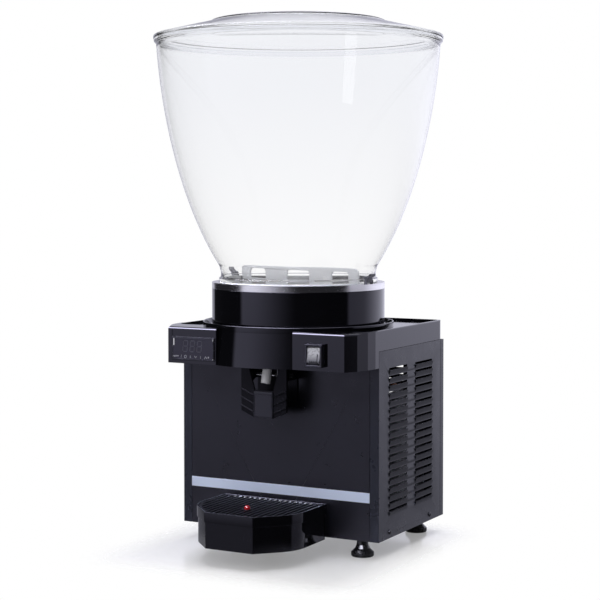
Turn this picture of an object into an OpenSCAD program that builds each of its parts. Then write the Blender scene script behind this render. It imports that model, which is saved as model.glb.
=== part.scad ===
// Cold drink dispenser: a clear mixing tank over a chilled bowl, on a sheet metal cabinet.
// Millimetres. The origin is on the floor under the tank's axis, +Z is up, and the tap faces -Y.

/* [Cabinet] */
// Width over the side panels
body_w = 335; // [320:1:350]
// Distance from the drip ring back to the rear panel
rear_room = 28; // [24:1:40]
// Distance from the front panel forward to the bowl's outlet
outlet_reach = 27; // [26:0.5:28]
// Height of the side panels
side_h = 279.5; // [270:0.5:300]
// Thickness of the sheet steel
sheet_t = 1.2; // [0.8:0.1:1.6]
// Width of the corner posts beside the front panel
post_w = 14.6; // [12:0.2:18]
// Depth of the rear panel's side flanges
rear_flange = 12.5; // [8:0.5:16]
// Gap at a seam between two panels
seam = 0.5; // [0.3:0.1:0.8]
// Height of the base pan's upturned edges
pan_h = 20; // [16:1:28]
// Height of the name strip on the front panel, left bare
strip_h = 14.8; // [10:0.2:20]
// Height of the strip's lower edge over the cabinet's bottom
strip_lift = 57; // [54:1:80]

/* [Louvers] */
// Rows of louvers on each side panel
louver_rows = 19; // [8:1:19]
// Pitch of the louver rows
louver_pitch = 11.67; // [10:0.01:12]
// Height of one louver's slot
louver_slot = 3.4; // [2:0.1:4]
// How far a louver's lip stands out of the panel
louver_out = 2.2; // [1.2:0.1:3]
// Height of the lowest louver over the cabinet's bottom
louver_lift = 39; // [34:1:50]
// Distance from the front panel to the first column of louvers
louver_front = 35; // [30:1:40]
// Distance between the louver columns
louver_gap = 29.5; // [20:0.5:36]
// Distance from the second column of louvers to the rear panel
louver_rear = 45.5; // [40:0.5:55]

/* [Feet] */
// Height of a foot under the cabinet
foot_h = 26; // [20:1:34]
// Radius of a foot's base
foot_r = 17; // [14:0.5:20]
// Radius of a foot's neck
foot_neck_r = 8; // [7:0.5:9]
// Radius of a foot's threaded stud
stud_r = 5; // [3:0.5:6]
// Distance of the feet from the cabinet's sides
foot_in_x = 36; // [30:1:50]
// Distance of the front feet from the front panel
foot_in_front = 20; // [18:1:40]
// Distance of the rear feet from the rear panel
foot_in_rear = 24; // [20:1:40]

/* [Top cover] */
// Wall of the moulded cover
cover_t = 3; // [2:0.1:3.4]
// Height of the cover's rim over the side panels
cover_rise = 30; // [28:0.5:36]
// Depth of the deck below the rim
deck_drop = 3.5; // [2:0.5:5]
// Height of the front skirt
skirt_h = 54.5; // [50:0.5:60]
// Distance from the front panel to the cover's front corners
corner_reach = 34; // [28:1:40]
// Distance from the round front's lower edge back to the pods' front face
pod_back = 13; // [11:0.5:16]
// Distance from the cabinet's side to a pod's side
pod_in = 19.5; // [16:0.5:24]
// Length over which a pod's slanted corner runs into the cabinet's side
corner_run = 62; // [56:0.5:64]
// Edge left beside the thermostat on its pod
pod_edge = 7.1; // [5:0.1:9]
// How far the round front's lower edge stands out of the drip ring
bulge_out = 5; // [3:0.5:8]
// Width of the deck's raised rim
lip_w = 5; // [4:0.5:7]

/* [Chilled bowl] */
// Distance from the cabinet's side to the inside of the steel bowl
bowl_in = 54.5; // [50:0.5:60]
// Thickness of the bowl's steel
bowl_t = 1.2; // [0.8:0.1:1.5]
// Depth of the bowl from its rim
bowl_depth = 82.6; // [78:0.2:86]
// Height of the steel rim band
rim_h = 9.3; // [7:0.1:12]
// Width of the steel rim round the bowl
rim_w = 19.25; // [18:0.25:22]
// Wall of the collar
collar_t = 4; // [3:0.5:4.5]
// Height of the bowl's rim over the cover's rim
rim_rise = 64.6; // [60:0.2:70]
// Width of the drip ring round the collar
ring_w = 13.75; // [11:0.25:16]
// Radius of the evaporator's tube
coil_tube_r = 4; // [3:0.25:5]
// Turns of the evaporator's tube
coil_turns = 5; // [3:1:5]
// Outer radius of the bowl's outlet stub
stub_r = 5; // [4:0.25:6]

/* [Tank] */
// Height of the clear tank
tank_h = 368; // [340:1:390]
// Wall of the tank
tank_t = 3.2; // [2.4:0.1:4]
// How far the tank's neck stands out of the bowl's inside
neck_out = 5.4; // [5:0.1:6.5]
// Outer radius of the tank just under its mouth
mouth_r = 216.4; // [205:0.2:225]
// How far the mouth's flange stands out
mouth_flange = 3.6; // [3:0.2:6]
// Thickness of the seal under the tank
gasket_t = 1; // [0.8:0.1:2]
// Height of the lid over the tank's mouth
lid_h = 29.6; // [27:0.1:34]
// Wall of the lid
lid_t = 3; // [2:0.1:4]
// Radius of the lid's raised middle
lid_step_r = 133; // [120:1:150]

/* [Mixer] */
// Gap between the mixing blade's ends and the bowl
blade_gap = 1; // [0.6:0.1:4]
// Height of the blade's upper edge over the bowl's rim
blade_up = 23; // [15:0.5:30]
// Thickness of the blade
blade_t = 3; // [2:0.5:5]
// Angle of the blade at rest
blade_angle = -9; // [-20:1:20]
// Radius of the two magnet discs
magnet_r = 34; // [28:1:38]
// Radius of the bowl's spigot for the rotor
spigot_r = 6; // [5:0.5:7]
// Radius of the rotor's hub
hub_r = 14; // [12:0.5:16]

/* [Tap] */
// Half width of the press lever
lever_half = 38.5; // [38:0.5:42]
// Half width of the plain press pad
pad_half = 16.2; // [14:0.2:18]
// Height of the press pad
pad_h = 39; // [34:1:42]
// Distance from the front panel to the lever's face
lever_reach = 44; // [43:0.5:46]
// Distance from the front skirt's lower edge down to the lever's lower edge
lever_drop = 78; // [74:1:84]
// Thickness of the lever
lever_t = 3.5; // [3:0.1:4]
// Outer radius of the outlet hose
hose_r = 7; // [6.5:0.1:7.2]
// Forward lean of the outlet hose
hose_lean = 15; // [12:0.5:16]
// Radius of the lever's pivot pin
pin_r = 2.5; // [2:0.1:3]

/* [Drip tray] */
// Width of the tray
tray_w = 174; // [160:1:190]
// Distance from the front panel to the tray's front face
tray_reach = 147; // [140:1:155]
// Height of the tray's rim over the cabinet's bottom
tray_rim_lift = 52; // [48:1:54]
// Depth of the tray
tray_h = 53; // [50:1:53.5]
// Wall of the tray
tray_t = 2.5; // [2:0.1:3]
// Width of the tray's flat front facet
tray_flat = 80; // [70:1:90]
// Radius of the tray's front corners
tray_round = 65; // [60:1:68]
// Thickness of the grille
grille_t = 3.6; // [3:0.1:4.4]
// Pitch of the grille's bars
grille_pitch = 8.6; // [7:0.1:10]
// Width of one slot in the grille
grille_slot = 4.4; // [3:0.1:5]
// Radius of the float's ball
ball_r = 4.5; // [3.5:0.1:5.5]
// Distance from the front panel to the float
float_reach = 93; // [85:1:100]

/* [Controls] */
// Width of the thermostat's face
thermo_w = 75; // [70:0.5:77]
// Height of the thermostat's face
thermo_h = 35.2; // [32:0.2:37]
// Room left between the thermostat and the bowl's insulation
thermo_room = 2.7; // [2:0.1:8]
// Width of the switch's bezel
bezel_w = 26.6; // [24:0.2:30]
// Height of the switch's bezel
bezel_h = 33.4; // [31:0.2:35]
// How far the bezel stands out of the pod
bezel_out = 10; // [8:0.5:12]
// Travel of the rocker
rocker_travel = 16; // [10:1:18]

/* [Hidden] */
$fn = 64;

// Clearances: pieces that move past each other, shafts in holes, and a small overlap for cuts
gap = 0.3;
run = 0.05;
eps = 0.01;
far = 500;

// Round pieces on the tank's axis, from the bowl outwards
half_w = body_w / 2;
bowl_r = half_w - bowl_in;
bowl_round = 12;
collar_r = bowl_r + rim_w;
foam_r = collar_r - collar_t;
ring_r = collar_r + ring_w;
bulge_r = ring_r + bulge_out;
neck_r = bowl_r + neck_out;
foot_flange_r = neck_r + 3.2;
outlet_y = -(bowl_r - bowl_round - stub_r - 5);

// Cabinet planes
front_y = outlet_y + outlet_reach;
rear_y = ring_r + rear_room;
base_z = foot_h;
side_z = base_z + side_h;
in_x = half_w - sheet_t;
in_front = front_y + sheet_t;
in_rear = rear_y - sheet_t;
screw_r = 1.5;
screw_head_r = 3.5;
screw_head_h = 2;
screw_z = base_z + 9.5;
screw_len = 8;
side_screw_y = [front_y + 37, rear_y - 54];
louver_len = (rear_y - front_y - louver_front - louver_gap - louver_rear) / 2;
bracket_t = 2;
bracket_screw_x = 20;
bracket_screw_z = [base_z + 22, base_z + 34];

// Cover planes
lip_z = side_z + seam + cover_rise;
deck_z = lip_z - deck_drop;
skirt_z = lip_z - skirt_h;
corner_y = front_y - corner_reach;
pod_y = pod_back - bulge_r;
pod_half = half_w - pod_in;

// Bowl planes
plate_t = 1.5;
plate_top = side_z - 8;
plate_z = plate_top - plate_t;
rim_z = lip_z + rim_rise;
collar_top = rim_z - rim_h;
bowl_z = rim_z - bowl_depth;
bowl_under = bowl_z - bowl_t;
coil_pitch = 10;
magnet_room = magnet_r + 6;
spigot_h = 38;

// Tank planes
tank_z = rim_z + gasket_t + gap;
mouth_z = tank_z + tank_h;
lid_z = mouth_z + gap;
neck_h = 13.6;
neck_blend_h = 9.7;
flare_slope = 0.63;
flare_reach = 79;
mouth_slope = 0.07;
mouth_reach = 135;
flange_h = 7;

// Mixer
blade_half = bowl_r - blade_gap;
rotor_z = bowl_z + 0.6;
rotor_disc_h = 11;
hub_top = bowl_z + spigot_h + 5;
hub_flat = hub_r * 0.8;
motor_r = 38;
motor_h = 47;
motor_z = plate_z - 34 - motor_h;
shaft_r = 4;

// Tap: the pivot's place and the hose's line
tap_top = plate_z;
lever_y = front_y - lever_reach;
lever_z = skirt_z - lever_drop;
pivot_y = lever_y + 24;
pivot_z = lever_z + 62.5;
cheek_in = 31;
cheek_t = 3;
arm_in = 27;
arm_t = 3;
hose_bend_z = plate_top + 0.5;
hose_tip = 45;
wire_r = 0.8;
spring_r = pin_r + gap + wire_r;

// Drip tray
tray_z = base_z + tray_rim_lift;
tray_half = tray_w / 2;
tray_front = front_y - tray_reach;
tray_back = front_y - 9.5;
band_h = 15;
band_step = 1.8;
ear_x = 35;
ear_half = 10;
tongue_half = 7;
hook_z = base_z + 14;
hook_h = 20;
tongue_front = front_y - bracket_t - 5;
tongue_back = tongue_front + 2;
rim_t = tray_t - 0.7;
grille_z = tray_z - 1.2 - grille_t;
float_y = front_y - float_reach;

// Controls: both sit as far from the cabinet's middle, and the thermostat ends short of the insulation
pod_mid = pod_half - pod_edge - thermo_w / 2;
thermo_in_x = pod_mid - thermo_w / 2 + 2.3;
thermo_d = -pod_y - sqrt(pow(foam_r + 1 + thermo_room, 2) - pow(thermo_in_x, 2));
recess = 0.8;
frame_t = 2.4;
face_t = 0.6;
control_z = skirt_z + 22.5;
rocker_r = 13;

// A rectangle with round corners, from squares and circles so that its arcs stay true
module round_rect(w, d, r) {
    square([w - 2 * r, d], center = true);
    square([w, d - 2 * r], center = true);
    for (sx = [-1, 1], sy = [-1, 1])
        translate([sx * (w / 2 - r), sy * (d / 2 - r)]) circle(r);
}

// A box given by its lowest and highest corners
module box(low, high) {
    translate(low) cube(high - low);
}

// A plain ring on the tank's axis
module ring(r_in, r_out, z0, z1) {
    difference() {
        translate([0, 0, z0]) cylinder(r = r_out, h = z1 - z0);
        translate([0, 0, z0 - 1]) cylinder(r = r_in, h = z1 - z0 + 2);
    }
}

// A profile drawn in (y, z), extruded along X over the half width w
module side_profile(w) {
    rotate([90, 0, 90]) translate([0, 0, -w]) linear_extrude(2 * w) children();
}

function unit(v) = v / norm(v);

// The route's points, with each inner corner turned into a short bend of three points
function bent_route(points, bend) = [
    for (i = [0 : len(points) - 1])
        if (i == 0 || i == len(points) - 1)
            points[i]
        else
            let (a = points[i] - bend * unit(points[i] - points[i - 1]),
                b = points[i] + bend * unit(points[i + 1] - points[i]))
                each [a, (a + 2 * points[i] + b) / 4, b]
];

// Direction of a route at one of its points
function heading(route, i) = unit(
    (i < len(route) - 1 ? unit(route[i + 1] - route[i]) : [0, 0, 0])
    + (i > 0 ? unit(route[i] - route[i - 1]) : [0, 0, 0])
);

// A copper pipe swept along a route, with flat ends
module pipe(points, r) {
    sides = 10;
    side_way = unit([0.83, 0.21, 0.52]);
    route = bent_route(points, 2.5 * r);
    rings = len(route);
    corners = [
        for (i = [0 : rings - 1])
            let (t = heading(route, i), u = unit(cross(side_way, t)), v = cross(t, u))
                for (k = [0 : sides - 1]) route[i] + r * (cos(k * 360 / sides) * u + sin(k * 360 / sides) * v)
    ];
    walls = [
        for (i = [0 : rings - 2], k = [0 : sides - 1])
            let (a = i * sides + k, b = i * sides + (k + 1) % sides)
                each [[a, a + sides, b + sides], [a, b + sides, b]]
    ];
    head = [for (k = [0 : sides - 1]) k];
    tail = [for (k = [sides - 1 : -1 : 0]) (rings - 1) * sides + k];
    polyhedron(corners, concat(walls, [head, tail]));
}

// Screws

module screw() {
    cylinder(r = screw_head_r, h = screw_head_h);
    translate([0, 0, -screw_len]) cylinder(r = screw_r, h = screw_len + eps);
}

module side_screw_spots() {
    for (side = [-1, 1], y = side_screw_y)
        translate([side * half_w, y, screw_z]) rotate([0, side * 90, 0]) children();
}

module rear_screw_spots() {
    for (side = [-1, 1])
        translate([side * (half_w - 30), rear_y, screw_z]) rotate([-90, 0, 0]) children();
}

module bracket_screw_spots() {
    for (side = [-1, 1], z = bracket_screw_z)
        translate([side * bracket_screw_x, front_y - bracket_t, z]) rotate([90, 0, 0]) children();
}

module panel_screws() color([0.05, 0.05, 0.06]) {
    side_screw_spots() screw();
    rear_screw_spots() screw();
    bracket_screw_spots() screw();
}

module screw_hole() {
    translate([0, 0, -screw_len - 1]) cylinder(r = screw_r, h = screw_len + 2);
}

// Cabinet

module foot_spots() {
    for (side = [-1, 1])
        for (y = [front_y + foot_in_front, rear_y - foot_in_rear])
            translate([side * (half_w - foot_in_x), y, 0]) children();
}

boss_h = 8;
boss_r = stud_r + 4;
stud_top = base_z + sheet_t + boss_h - 1;

module base_pan() color([0.6, 0.61, 0.63]) {
    difference() {
        union() {
            box([-in_x, in_front, base_z], [in_x, in_rear, base_z + sheet_t]);
            difference() {
                box([-in_x, in_front, base_z], [in_x, in_rear, base_z + pan_h]);
                box([-in_x + sheet_t, in_front + sheet_t, base_z - 1],
                    [in_x - sheet_t, in_rear - sheet_t, base_z + pan_h + 1]);
            }
            foot_spots() translate([0, 0, base_z]) cylinder(r = boss_r, h = sheet_t + boss_h);
        }
        foot_spots() translate([0, 0, base_z - 1]) cylinder(r = stud_r + run, h = sheet_t + boss_h + 2);
        side_screw_spots() screw_hole();
        rear_screw_spots() screw_hole();
    }
}

panel_half = half_w - post_w - seam / 2;

module front_panel() color([0.08, 0.08, 0.09]) {
    difference() {
        union() {
            box([-panel_half, front_y, base_z], [panel_half, in_front, plate_z]);
            box([-panel_half, front_y, plate_z - sheet_t], [panel_half, front_y + 16, plate_z]);
        }
        bracket_screw_spots() screw_hole();
    }
}

strip_z = base_z + strip_lift;
strip_t = 0.5;

module label_strip() color([0.75, 0.8, 0.88])
    box([-panel_half, front_y - strip_t, strip_z], [panel_half, front_y, strip_z + strip_h]);

// One louver on the right side panel, with its slot above a lip that is pressed outwards
module louver_lip() {
    slope_h = louver_pitch * 0.55;
    rotate([90, 0, 0]) translate([0, 0, -louver_len]) linear_extrude(louver_len)
        polygon([[-eps, -slope_h], [louver_out, 0], [louver_out - 0.9, 0], [-eps, -slope_h + 3]]);
}

module louver_spots() {
    for (row = [0 : louver_rows - 1], column = [0, 1])
        translate([
            half_w,
            front_y + louver_front + column * (louver_len + louver_gap),
            base_z + louver_lift + row * louver_pitch
        ]) children();
}

module side_panel() {
    difference() {
        union() {
            box([in_x, front_y, base_z], [half_w, rear_y - rear_flange - seam, side_z]);
            box([half_w - post_w, front_y, base_z], [half_w, in_front, side_z]);
            louver_spots() louver_lip();
        }
        louver_spots() box([-sheet_t - 1, 0, 0], [1, louver_len, louver_slot]);
        side_screw_spots() screw_hole();
    }
}

module side_panel_right() color([0.17, 0.17, 0.19]) side_panel();

module side_panel_left() color([0.17, 0.17, 0.19]) mirror([1, 0, 0]) side_panel();

gland_x = -half_w + 60;
gland_z = base_z + 45;
gland_r = 4;
gland_body_r = 8;

module rear_panel() color([0.17, 0.17, 0.19]) {
    slot_w = 90;
    slots = 16;
    difference() {
        union() {
            box([-half_w, in_rear, base_z], [half_w, rear_y, side_z]);
            for (side = [-1, 1])
                translate([side * (half_w - sheet_t / 2), rear_y - rear_flange / 2, (base_z + side_z) / 2])
                    cube([sheet_t, rear_flange, side_h], center = true);
        }
        for (row = [0 : slots - 1], side = [-1, 1])
            translate([side * (slot_w / 2 + 8), rear_y, base_z + 90 + row * 11])
                cube([slot_w, 4 * sheet_t, 4], center = true);
        rear_screw_spots() screw_hole();
        translate([gland_x, rear_y - 10, gland_z]) rotate([-90, 0, 0]) cylinder(r = gland_body_r, h = 20);
    }
}

module cable_gland() color([0.04, 0.04, 0.05])
    translate([gland_x, rear_y, gland_z]) rotate([-90, 0, 0]) difference() {
        union() {
            cylinder(r = gland_body_r + 3, h = 4);
            cylinder(r1 = gland_body_r, r2 = gland_r + 2, h = 16);
            translate([0, 0, -sheet_t - 6]) cylinder(r = gland_body_r, h = sheet_t + 6 + eps);
            translate([0, 0, -sheet_t - 4]) cylinder(r = gland_body_r + 3, h = 4);
        }
        translate([0, 0, -sheet_t - 7]) cylinder(r = gland_r, h = 40);
    }

// A foot: a bell with a scalloped base on a threaded stud
module foot() {
    scallops = 12;
    difference() {
        union() {
            rotate_extrude() polygon([
                [0, 0], [foot_r - 1, 0], [foot_r, 1.5], [foot_r, 6], [foot_r - 2, 8],
                [foot_neck_r + 3, 12], [foot_neck_r + 0.8, 17], [foot_neck_r, base_z - gap], [0, base_z - gap]
            ]);
            cylinder(r = stud_r, h = stud_top);
        }
        for (i = [0 : scallops - 1])
            rotate([0, 0, i * 360 / scallops]) translate([foot_r + 1.4, 0, 1.6]) cylinder(r = 2.6, h = 20);
    }
}

module foot_at(side, y) color([0.03, 0.03, 0.035])
    translate([side * (half_w - foot_in_x), y, 0]) foot();

// Top cover

cover_outer_r = 24;
cover_rear_r = 16;

// Plan of the cabinet part of the cover, drawn in from its edge by the inset
module cover_plan(inset) {
    depth = rear_y - corner_y;
    translate([0, (rear_y + corner_y) / 2]) intersection() {
        translate([0, cover_rear_r]) round_rect(body_w - 2 * inset, depth - 2 * inset + 2 * cover_rear_r,
            cover_outer_r - min(inset, 5));
        translate([0, -cover_rear_r]) round_rect(body_w - 2 * inset, depth - 2 * inset + 2 * cover_rear_r,
            cover_rear_r - min(inset, 5));
    }
}

// A solid block with its upper edges rounded along X and along Y
module eased_top(half_x, y0, y1, z0, z1, r) {
    intersection() {
        side_profile(half_x + 1) eased_front(y0, y1, z0, z1, r);
        rotate([90, 0, 0]) translate([0, 0, -y1 - 1]) linear_extrude(y1 - y0 + 2)
            eased_front(-half_x, half_x, z0, z1, r);
    }
}

module eased_front(a, b, z0, z1, r) {
    translate([a, z0]) square([b - a, z1 - z0 - r]);
    translate([a + r, z0]) square([b - a - 2 * r, z1 - z0]);
    for (c = [a + r, b - r]) translate([c, z1 - r]) circle(r);
}

// Half of a pod's plan: its inner end, its front face and the slanted corner to the cabinet's side
pod_end = pod_mid - thermo_w / 2 - 1.4;
pod_rear = pod_y + corner_run + 8;
pod_line = [
    [pod_end, pod_y], [pod_half, pod_y],
    [half_w - 0.436 * pod_in, pod_y + 0.32 * corner_run],
    [half_w - 0.133 * pod_in, pod_y + 0.68 * corner_run],
    [half_w, pod_y + corner_run], [half_w, pod_rear]
];

function outward(a, b) = let (u = unit(b - a)) [u[1], -u[0]];

// A corner of the plan, moved in so that both of its edges keep the inset
function drawn_in(a, b, c, inset) = let (m = outward(a, b), n = outward(b, c))
    b - inset * (m + n) / (1 + m * n);

module pod_plan(inset) {
    line = concat([[pod_end, pod_rear]], pod_line);
    polygon(concat(
        [[pod_end + inset, pod_rear]],
        [for (i = [1 : len(line) - 2]) drawn_in(line[i - 1], line[i], line[i + 1], inset)],
        [[half_w - inset, pod_rear]]
    ));
}

module pods(inset, top) {
    for (side = [0, 1])
        mirror([side, 0, 0]) translate([0, 0, skirt_z - inset])
            linear_extrude(top - skirt_z + inset) pod_plan(inset);
}

// What is cut away to round a pod's upper edge along one line of its plan
module pod_edge_cut(a, b) {
    r = 4;
    out = outward(a, b);
    translate([a[0], a[1], lip_z - r]) rotate([0, 0, atan2(out[1], out[0])]) rotate([90, 0, 0])
        linear_extrude(200, center = true) difference() {
            translate([-r, 0]) square([r + 1, r + 1]);
            translate([-r, 0]) circle(r);
        }
}

module bulge(inset, top) {
    draft = 5;
    h = deck_z - skirt_z;
    translate([0, 0, skirt_z]) cylinder(r1 = bulge_r - inset, r2 = bulge_r - draft - inset, h = h - top);
}

module cover_block(inset, top) {
    translate([0, 0, skirt_z - inset]) linear_extrude(top - skirt_z + inset) cover_plan(inset);
}

module top_cover() color([0.02, 0.02, 0.025]) {
    difference() {
        union() {
            intersection() {
                cover_block(0, lip_z);
                eased_top(half_w, corner_y, rear_y, skirt_z, lip_z, cover_t);
            }
            difference() {
                pods(0, lip_z);
                for (side = [0, 1], i = [0 : len(pod_line) - 2])
                    mirror([side, 0, 0]) pod_edge_cut(pod_line[i], pod_line[i + 1]);
            }
            bulge(0, 0);
        }
        cover_block(cover_t, deck_z - cover_t);
        pods(cover_t, deck_z - cover_t);
        intersection() {
            pods(cover_t, lip_z - cover_t);
            box([-far, pod_y, skirt_z], [far, corner_y + lip_w - cover_t, lip_z]);
        }
        translate([0, 0, -eps]) bulge(cover_t, cover_t);
        translate([0, 0, deck_z]) linear_extrude(deck_drop + 1) cover_plan(lip_w);
        translate([0, 0, deck_z]) cylinder(r = ring_r + run, h = deck_drop + 1);
        translate([0, 0, skirt_z - 1]) cylinder(r = foam_r + gap, h = skirt_h + 2);
        box([-far, front_y - gap, skirt_z - 1], [far, far, side_z + seam]);
        // Recess and openings of the two controls
        box([-pod_mid - thermo_w / 2 - gap, -bulge_r, control_z - thermo_h / 2 - gap],
            [-pod_mid + thermo_w / 2 + gap, pod_y + recess, control_z + thermo_h / 2 + 10]);
        box([-pod_mid - thermo_w / 2 + 2, pod_y - 1, control_z - thermo_h / 2 + 3],
            [-pod_mid + thermo_w / 2 - 2, pod_y + cover_t + 1, control_z + thermo_h / 2 - 3]);
        box([pod_mid - bezel_w / 2 + 2, pod_y - 1, control_z - bezel_h / 2 + 2],
            [pod_mid + bezel_w / 2 - 2, pod_y + cover_t + 1, control_z + bezel_h / 2 - 2]);
    }
}

// The trough round the collar that catches drips and condensation
module drip_ring() color([0.02, 0.02, 0.025])
    rotate_extrude($fn = 96) polygon([
        [collar_r, deck_z], [ring_r, deck_z], [ring_r, lip_z + 4.6], [ring_r - 0.8, lip_z + 5.4],
        [ring_r - 1.8, lip_z + 4.6], [ring_r - 3, deck_z + 2], [collar_r + 1.8, deck_z + 2],
        [collar_r + 1.4, deck_z + 5], [collar_r, deck_z + 5]
    ]);

// Chilled bowl

module collar() color([0.02, 0.02, 0.025]) ring(foam_r, collar_r, deck_z, collar_top);

module bowl_profile(r, z) {
    square([r - bowl_round, rim_z - z]);
    translate([0, bowl_round]) square([r, rim_z - z - bowl_round]);
    translate([r - bowl_round, bowl_round]) circle(bowl_round);
}

module evaporator_bowl() color([0.78, 0.78, 0.8])
    difference() {
        union() {
            rotate_extrude($fn = 96) difference() {
                union() {
                    translate([0, bowl_under]) intersection() {
                        bowl_profile(bowl_r + bowl_t, bowl_under);
                        square([far, far]);
                    }
                    translate([0, collar_top]) square([collar_r, rim_h]);
                }
                translate([0, bowl_z]) intersection() {
                    bowl_profile(bowl_r, bowl_z - 1);
                    square([far, far]);
                }
                translate([bowl_r + bowl_t, collar_top - 1])
                    square([collar_r - bowl_r - 2 * bowl_t, rim_h + 1 - bowl_t]);
            }
            translate([0, 0, bowl_z - eps]) cylinder(r = spigot_r, h = spigot_h + eps);
            translate([0, outlet_y, hose_bend_z + 2]) cylinder(r = stub_r, h = bowl_z - hose_bend_z - 2.5);
        }
        translate([0, outlet_y, hose_bend_z]) cylinder(r = stub_r - 1, h = bowl_depth);
    }

// The evaporator: tube rings round the bowl, joined by short risers
module evaporator_coil() color([0.72, 0.43, 0.25]) {
    top = collar_top - 6 - coil_tube_r;
    for (i = [0 : coil_turns - 1])
        translate([0, 0, top - i * coil_pitch]) rotate_extrude($fn = 96)
            translate([coil_y, 0]) circle(coil_tube_r);
    for (i = [0 : coil_turns - 2])
        rotate([0, 0, 120]) translate([coil_y, 0, top - (i + 1) * coil_pitch])
            cylinder(r = coil_tube_r / 2, h = coil_pitch);
}

coil_low = collar_top - 6 - 2 * coil_tube_r - (coil_turns - 1) * coil_pitch;

module bowl_insulation() color([0.9, 0.85, 0.6])
    difference() {
        translate([0, 0, plate_top]) cylinder(r = foam_r, h = collar_top - plate_top);
        translate([0, 0, bowl_under]) rotate_extrude($fn = 96) intersection() {
            bowl_profile(bowl_r + bowl_t, bowl_under);
            square([far, far]);
        }
        translate([0, 0, coil_low - 3])
            cylinder(r = bowl_r + bowl_t + 2 * coil_tube_r + gap, h = collar_top - coil_low + 4);
        translate([0, 0, plate_top - 1]) cylinder(r = magnet_room, h = bowl_z);
        translate([0, outlet_y, plate_top - 1]) cylinder(r = hose_r + 1.5, h = 30);
        pipe_holes();
    }

module tank_gasket() color([0.85, 0.86, 0.88]) ring(bowl_r + 2, foot_flange_r - 0.6, rim_z, rim_z + gasket_t);

// The plate that closes the cabinet and carries the bowl
module support_plate() color([0.6, 0.61, 0.63])
    difference() {
        union() {
            box([-in_x, in_front, plate_z], [in_x, in_rear, plate_top]);
            translate([0, 0, plate_z]) cylinder(r = foam_r + 1, h = plate_t);
            for (side = [-1, 1])
                translate([side * (in_x - sheet_t / 2), (in_front + in_rear) / 2, plate_z - 7])
                    cube([sheet_t, in_rear - in_front - 2 * post_w, 14 + eps], center = true);
        }
        translate([0, 0, plate_z - 1]) cylinder(r = magnet_room, h = 4);
        translate([0, outlet_y, plate_z - 1]) cylinder(r = hose_r + 2, h = 4);
        pipe_holes();
    }

// Tank, lid and clips

function flare(t) = let (
        low = [neck_r + 2.8, neck_h + neck_blend_h],
        high = [mouth_r, tank_h - flange_h - 1],
        a = low + flare_reach * [flare_slope, 1],
        b = high - mouth_reach * [mouth_slope, 1],
        s = 1 - t
    ) s * s * s * low + 3 * s * s * t * a + 3 * s * t * t * b + t * t * t * high;

flare_steps = 16;
flare_line = [for (i = [0 : flare_steps]) flare(i / flare_steps)];

module tank() color([0.9, 0.93, 0.95, 0.35])
    translate([0, 0, tank_z]) rotate_extrude($fn = 96) polygon(concat(
        [[foot_flange_r, 0], [foot_flange_r, 5], [neck_r + 0.8, 6.5], [neck_r, neck_h]],
        flare_line,
        [
            [mouth_r + 0.6, tank_h - flange_h], [mouth_r + mouth_flange, tank_h - flange_h + 3],
            [mouth_r + mouth_flange, tank_h], [mouth_r - tank_t, tank_h]
        ],
        [for (i = [flare_steps : -1 : 0]) flare_line[i] - [tank_t, 0]],
        [[neck_r - tank_t, neck_h], [neck_r - tank_t, 0]]
    ));

// A cone that rises to a low raised middle, with a plug inside the tank's mouth
module lid() color([0.9, 0.93, 0.95, 0.35]) {
    edge_r = mouth_r + mouth_flange + 0.8;
    edge_h = 4.2;
    shoulder = lid_h - 4.6;
    slope = (shoulder - edge_h) / (edge_r - lid_step_r - 1.5);
    plug_r = mouth_r - tank_t - 0.8;
    plug_in = plug_r - 2.5;
    translate([0, 0, lid_z]) rotate_extrude($fn = 96) polygon([
        [edge_r, 0], [edge_r, edge_h], [lid_step_r + 1.5, shoulder], [lid_step_r, shoulder + 2.6],
        [lid_step_r - 8, lid_h], [0, lid_h + 0.6], [0, lid_h - lid_t + 0.6],
        [lid_step_r - 9, lid_h - lid_t], [lid_step_r - 2, shoulder + 2.6 - lid_t],
        [lid_step_r, shoulder - lid_t], [plug_in, edge_h + (edge_r - plug_in) * slope - lid_t],
        [plug_in, -6], [plug_r, -6], [plug_r, 0]
    ]);
}

clip_at = [-6, 174];
clip_r = foot_flange_r + 4.2;
clip_w = 14;
clip_pin_r = 1.2;
clip_pin_z = 4.5;

// Ears with a pin on the bowl's rim, one pair for each clip
module clip_brackets() color([0.25, 0.26, 0.28])
    for (angle = clip_at)
        rotate([0, 0, angle]) translate([clip_r + 1, 0, rim_z]) {
            for (side = [-1, 1])
                translate([0, side * (clip_w / 2 + 1.4), 0]) rotate([90, 0, 0]) translate([0, 0, -0.8])
                    linear_extrude(1.6) {
                        translate([-2.5, 0]) square([5, clip_pin_z]);
                        translate([0, clip_pin_z]) circle(2.5);
                    }
            translate([0, 0, clip_pin_z]) rotate([90, 0, 0])
                cylinder(r = clip_pin_r, h = clip_w + 4.4, center = true);
        }

// A clip: a lever on its pin, with a nose towards the tank's foot and a tab that leans outwards
module tank_clip() {
    difference() {
        rotate([90, 0, 0]) linear_extrude(clip_w, center = true) {
            translate([0, clip_pin_z]) circle(2.6);
            polygon([
                [-2.6, clip_pin_z], [2.6, clip_pin_z], [2.6, 9], [8, 13.5], [7, 15.6], [0.6, 11.4],
                [-2.4, 11.4], [-4.8, 9.6], [-4.8, 7.6], [-2.6, 7.4]
            ]);
        }
        translate([0, 0, clip_pin_z]) rotate([90, 0, 0])
            cylinder(r = clip_pin_r + run, h = clip_w + 2, center = true);
    }
}

module clip_on(angle) color([0.25, 0.26, 0.28])
    rotate([0, 0, angle]) translate([clip_r + 1, 0, rim_z]) tank_clip();

module tank_clip_right() clip_on(clip_at[0]);

module tank_clip_left() clip_on(clip_at[1]);

// Mixer drive

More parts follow.
